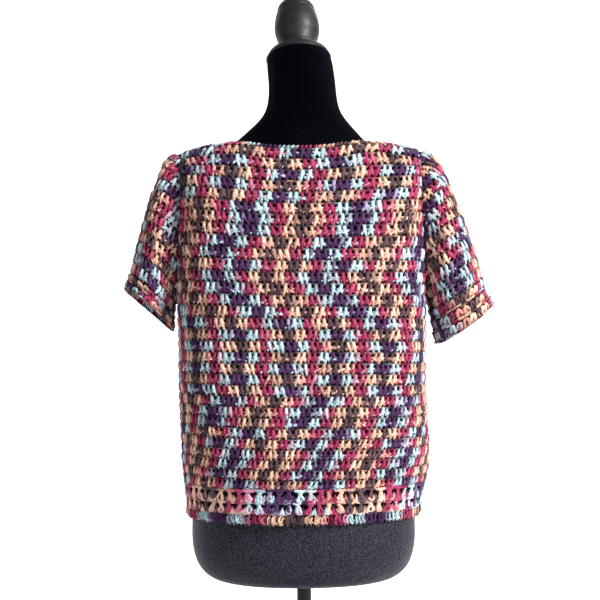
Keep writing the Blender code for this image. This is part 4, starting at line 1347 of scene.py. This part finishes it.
# The neck's top slants down to the front, and by this share of that to its left. The cap and finial stand
# square to it, on its middle, NECK_TOP.
SIDE_SLANT = 0.12
NECK_TOP = Vector((FORM_SECTIONS[-1].centre_x, FORM_SECTIONS[-1].centre_y, FORM_SECTIONS[-1].height))
NECK_AXIS = Vector((-SIDE_SLANT * FORM_SECTIONS[-1].tilt, FORM_SECTIONS[-1].tilt, 1)).normalized()
ProfilePoint = namedtuple("ProfilePoint", "radius height")
CAP_PROFILE = [ProfilePoint(*row) for row in (
    (0.0, 0.0155), (0.0200, 0.0155), (0.0310, 0.0142), (0.0385, 0.0110), (0.0424, 0.0070), (0.0438, 0.0030),
    (0.0438, 0.0005), (0.0428, 0.0), (0.0, 0.0),
)]
FINIAL_PROFILE = [ProfilePoint(*row) for row in (
    (0.0, 0.0960), (0.0070, 0.0948), (0.0120, 0.0910), (0.0135, 0.0865), (0.0120, 0.0820),
    (0.0095, 0.0790), (0.0115, 0.0768), (0.0175, 0.0740), (0.0225, 0.0700), (0.0255, 0.0650),
    (0.0268, 0.0612), (0.0262, 0.0598), (0.0285, 0.0540), (0.0308, 0.0440), (0.0320, 0.0335),
    (0.0313, 0.0240), (0.0290, 0.0155), (0.0270, 0.0080), (0.0250, 0.0), (0.0, 0.0),
)]
FORM_SIDES = 84
TURNED_SIDES = 64
# Smaller rings that close the form's ends, as shares of its first and last ones, and the radius of the
# pinholes that are left at a turned piece's ends.
END_SHARES = (0.66, 0.33, 0.02)
PINHOLE = 0.00002


def refined(rows):
    """A table's rows as an array, with three smooth ones between each two."""
    table = np.array(rows)
    steps = len(table) - 1
    return hermite(np.arange(len(table)), table, np.linspace(0, steps, 4 * steps + 1))


def stand_in(piece, node):
    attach(piece, "root")
    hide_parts(node)


def make_form():
    angles = np.linspace(0, 2 * math.pi, FORM_SIDES, endpoint=False)
    rings = []
    for height, half_width, back, front, squareness, centre_x, centre_y, tilt in refined(FORM_SECTIONS):
        wide, deep = superellipse(squareness, angles)
        x, y = half_width * wide, deep * np.where(deep > 0, front, back)
        drop = tilt * (y - SIDE_SLANT * x)
        rings.append(np.stack([centre_x + x, centre_y + y, height - drop], axis=-1))
    first, last = ([ring.mean(axis=0) + (ring - ring.mean(axis=0)) * share for share in END_SHARES]
                   for ring in (rings[0], rings[-1]))
    rings = np.array(first[::-1] + rings + last)
    form = mesh_object("jersey_form", rings.reshape(-1, 3), grid_faces(len(rings), FORM_SIDES, True), JERSEY)
    stand_in(form, "form_torso")


def turned(name, profile, lift, node):
    """A profile turned round the neck's axis, lifted along it, with a pinhole at each end."""
    radius, height = refined(profile).T[:, :, None]
    radius = np.maximum(radius, PINHOLE)
    angles = np.linspace(0, 2 * math.pi, TURNED_SIDES, endpoint=False)
    rings = np.stack(np.broadcast_arrays(radius * np.cos(angles), radius * np.sin(angles), height), axis=-1)
    tilt = Vector((0, 0, 1)).rotation_difference(NECK_AXIS).to_matrix().to_4x4()
    place = np.array(Matrix.Translation(NECK_TOP) @ tilt @ Matrix.Translation((0, 0, lift)))
    points = rings.reshape(-1, 3) @ place[:3, :3].T + place[:3, 3]
    faces = grid_faces(len(rings), TURNED_SIDES, True)[:, [0, 3, 2, 1]]
    stand_in(mesh_object(name, points, faces, PAINT), node)


JERSEY = jersey_material()
PAINT = paint_material()
STEEL = steel_material()

make_form()
turned("turned_cap", CAP_PROFILE, SEAM, "neck_cap")
turned("turned_finial", FINIAL_PROFILE, 2 * SEAM + CAP_PROFILE[0].height, "finial")
for name in ("stand_pole", "stand_base"):
    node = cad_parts[name]
    node.data.materials.clear()
    node.data.materials.append(STEEL)

# ---------------------------------------------------------------- stage and light

# The pale floor that bends up into a wall behind the object, and where that wall starts to glow.
STAGE_HALF_WIDTH = 7.0
STAGE_NEAR = -6.0
STAGE_FAR = 5.2
STAGE_HEIGHT = 6.0
STAGE_BEND = 1.2
BEND_STEPS = 12
STAGE_GLOW_Y = (0.2, 1.6)


def make_stage():
    material, tree, shader = new_material("studio_white", {
        "Base Color": (0.92, 0.92, 0.93, 1.0), "Roughness": 0.9, "Emission Color": (1.0, 1.0, 1.0, 1.0)})
    glow = ranged(tree, own_axis(tree, "Y"), STAGE_GLOW_Y, (0.0, 0.9))
    set_inputs(tree, shader, {"Emission Strength": glow})
    angles = math.pi / 2 * np.arange(1, BEND_STEPS) / BEND_STEPS
    bend_start = STAGE_FAR - STAGE_BEND
    bend = zip(bend_start + STAGE_BEND * np.sin(angles), STAGE_BEND - STAGE_BEND * np.cos(angles))
    profile = [(STAGE_NEAR, 0), (bend_start, 0), *bend, (STAGE_FAR, STAGE_BEND), (STAGE_FAR, STAGE_HEIGHT)]
    vertices = [(x, y, z) for y, z in profile for x in (-STAGE_HALF_WIDTH, STAGE_HALF_WIDTH)]
    mesh_object("studio_floor", vertices, grid_faces(len(profile), 2), material)


OBJECT_MIDDLE = Vector((0, 0, 0.7))


def make_light(name, location, size, power):
    """A round soft light that points at the object's middle."""
    data = bpy.data.lights.new(name, "AREA")
    data.shape = "DISK"
    data.size = size
    data.energy = power
    light = bpy.data.objects.new(name, data)
    light.location = location
    light.rotation_euler = (OBJECT_MIDDLE - Vector(location)).to_track_quat("-Z", "Y").to_euler()
    bpy.context.scene.collection.objects.link(light)


def make_lights():
    world = bpy.data.worlds.new("studio")
    world.use_nodes = True
    set_inputs(world.node_tree, world.node_tree.nodes["Background"], {
        "Color": (0.90, 0.95, 1.0, 1.0), "Strength": 0.25})
    bpy.context.scene.world = world
    make_light("key", (2.0, -1.5, 2.2), size=0.6, power=131)
    make_light("fill", (-1.2, -2.6, 1.2), size=1.6, power=6)
    make_light("rear", (0.5, 2.2, 2.2), size=1.5, power=20)
    bpy.context.scene.view_settings.view_transform = "Standard"


make_stage()
make_lights()
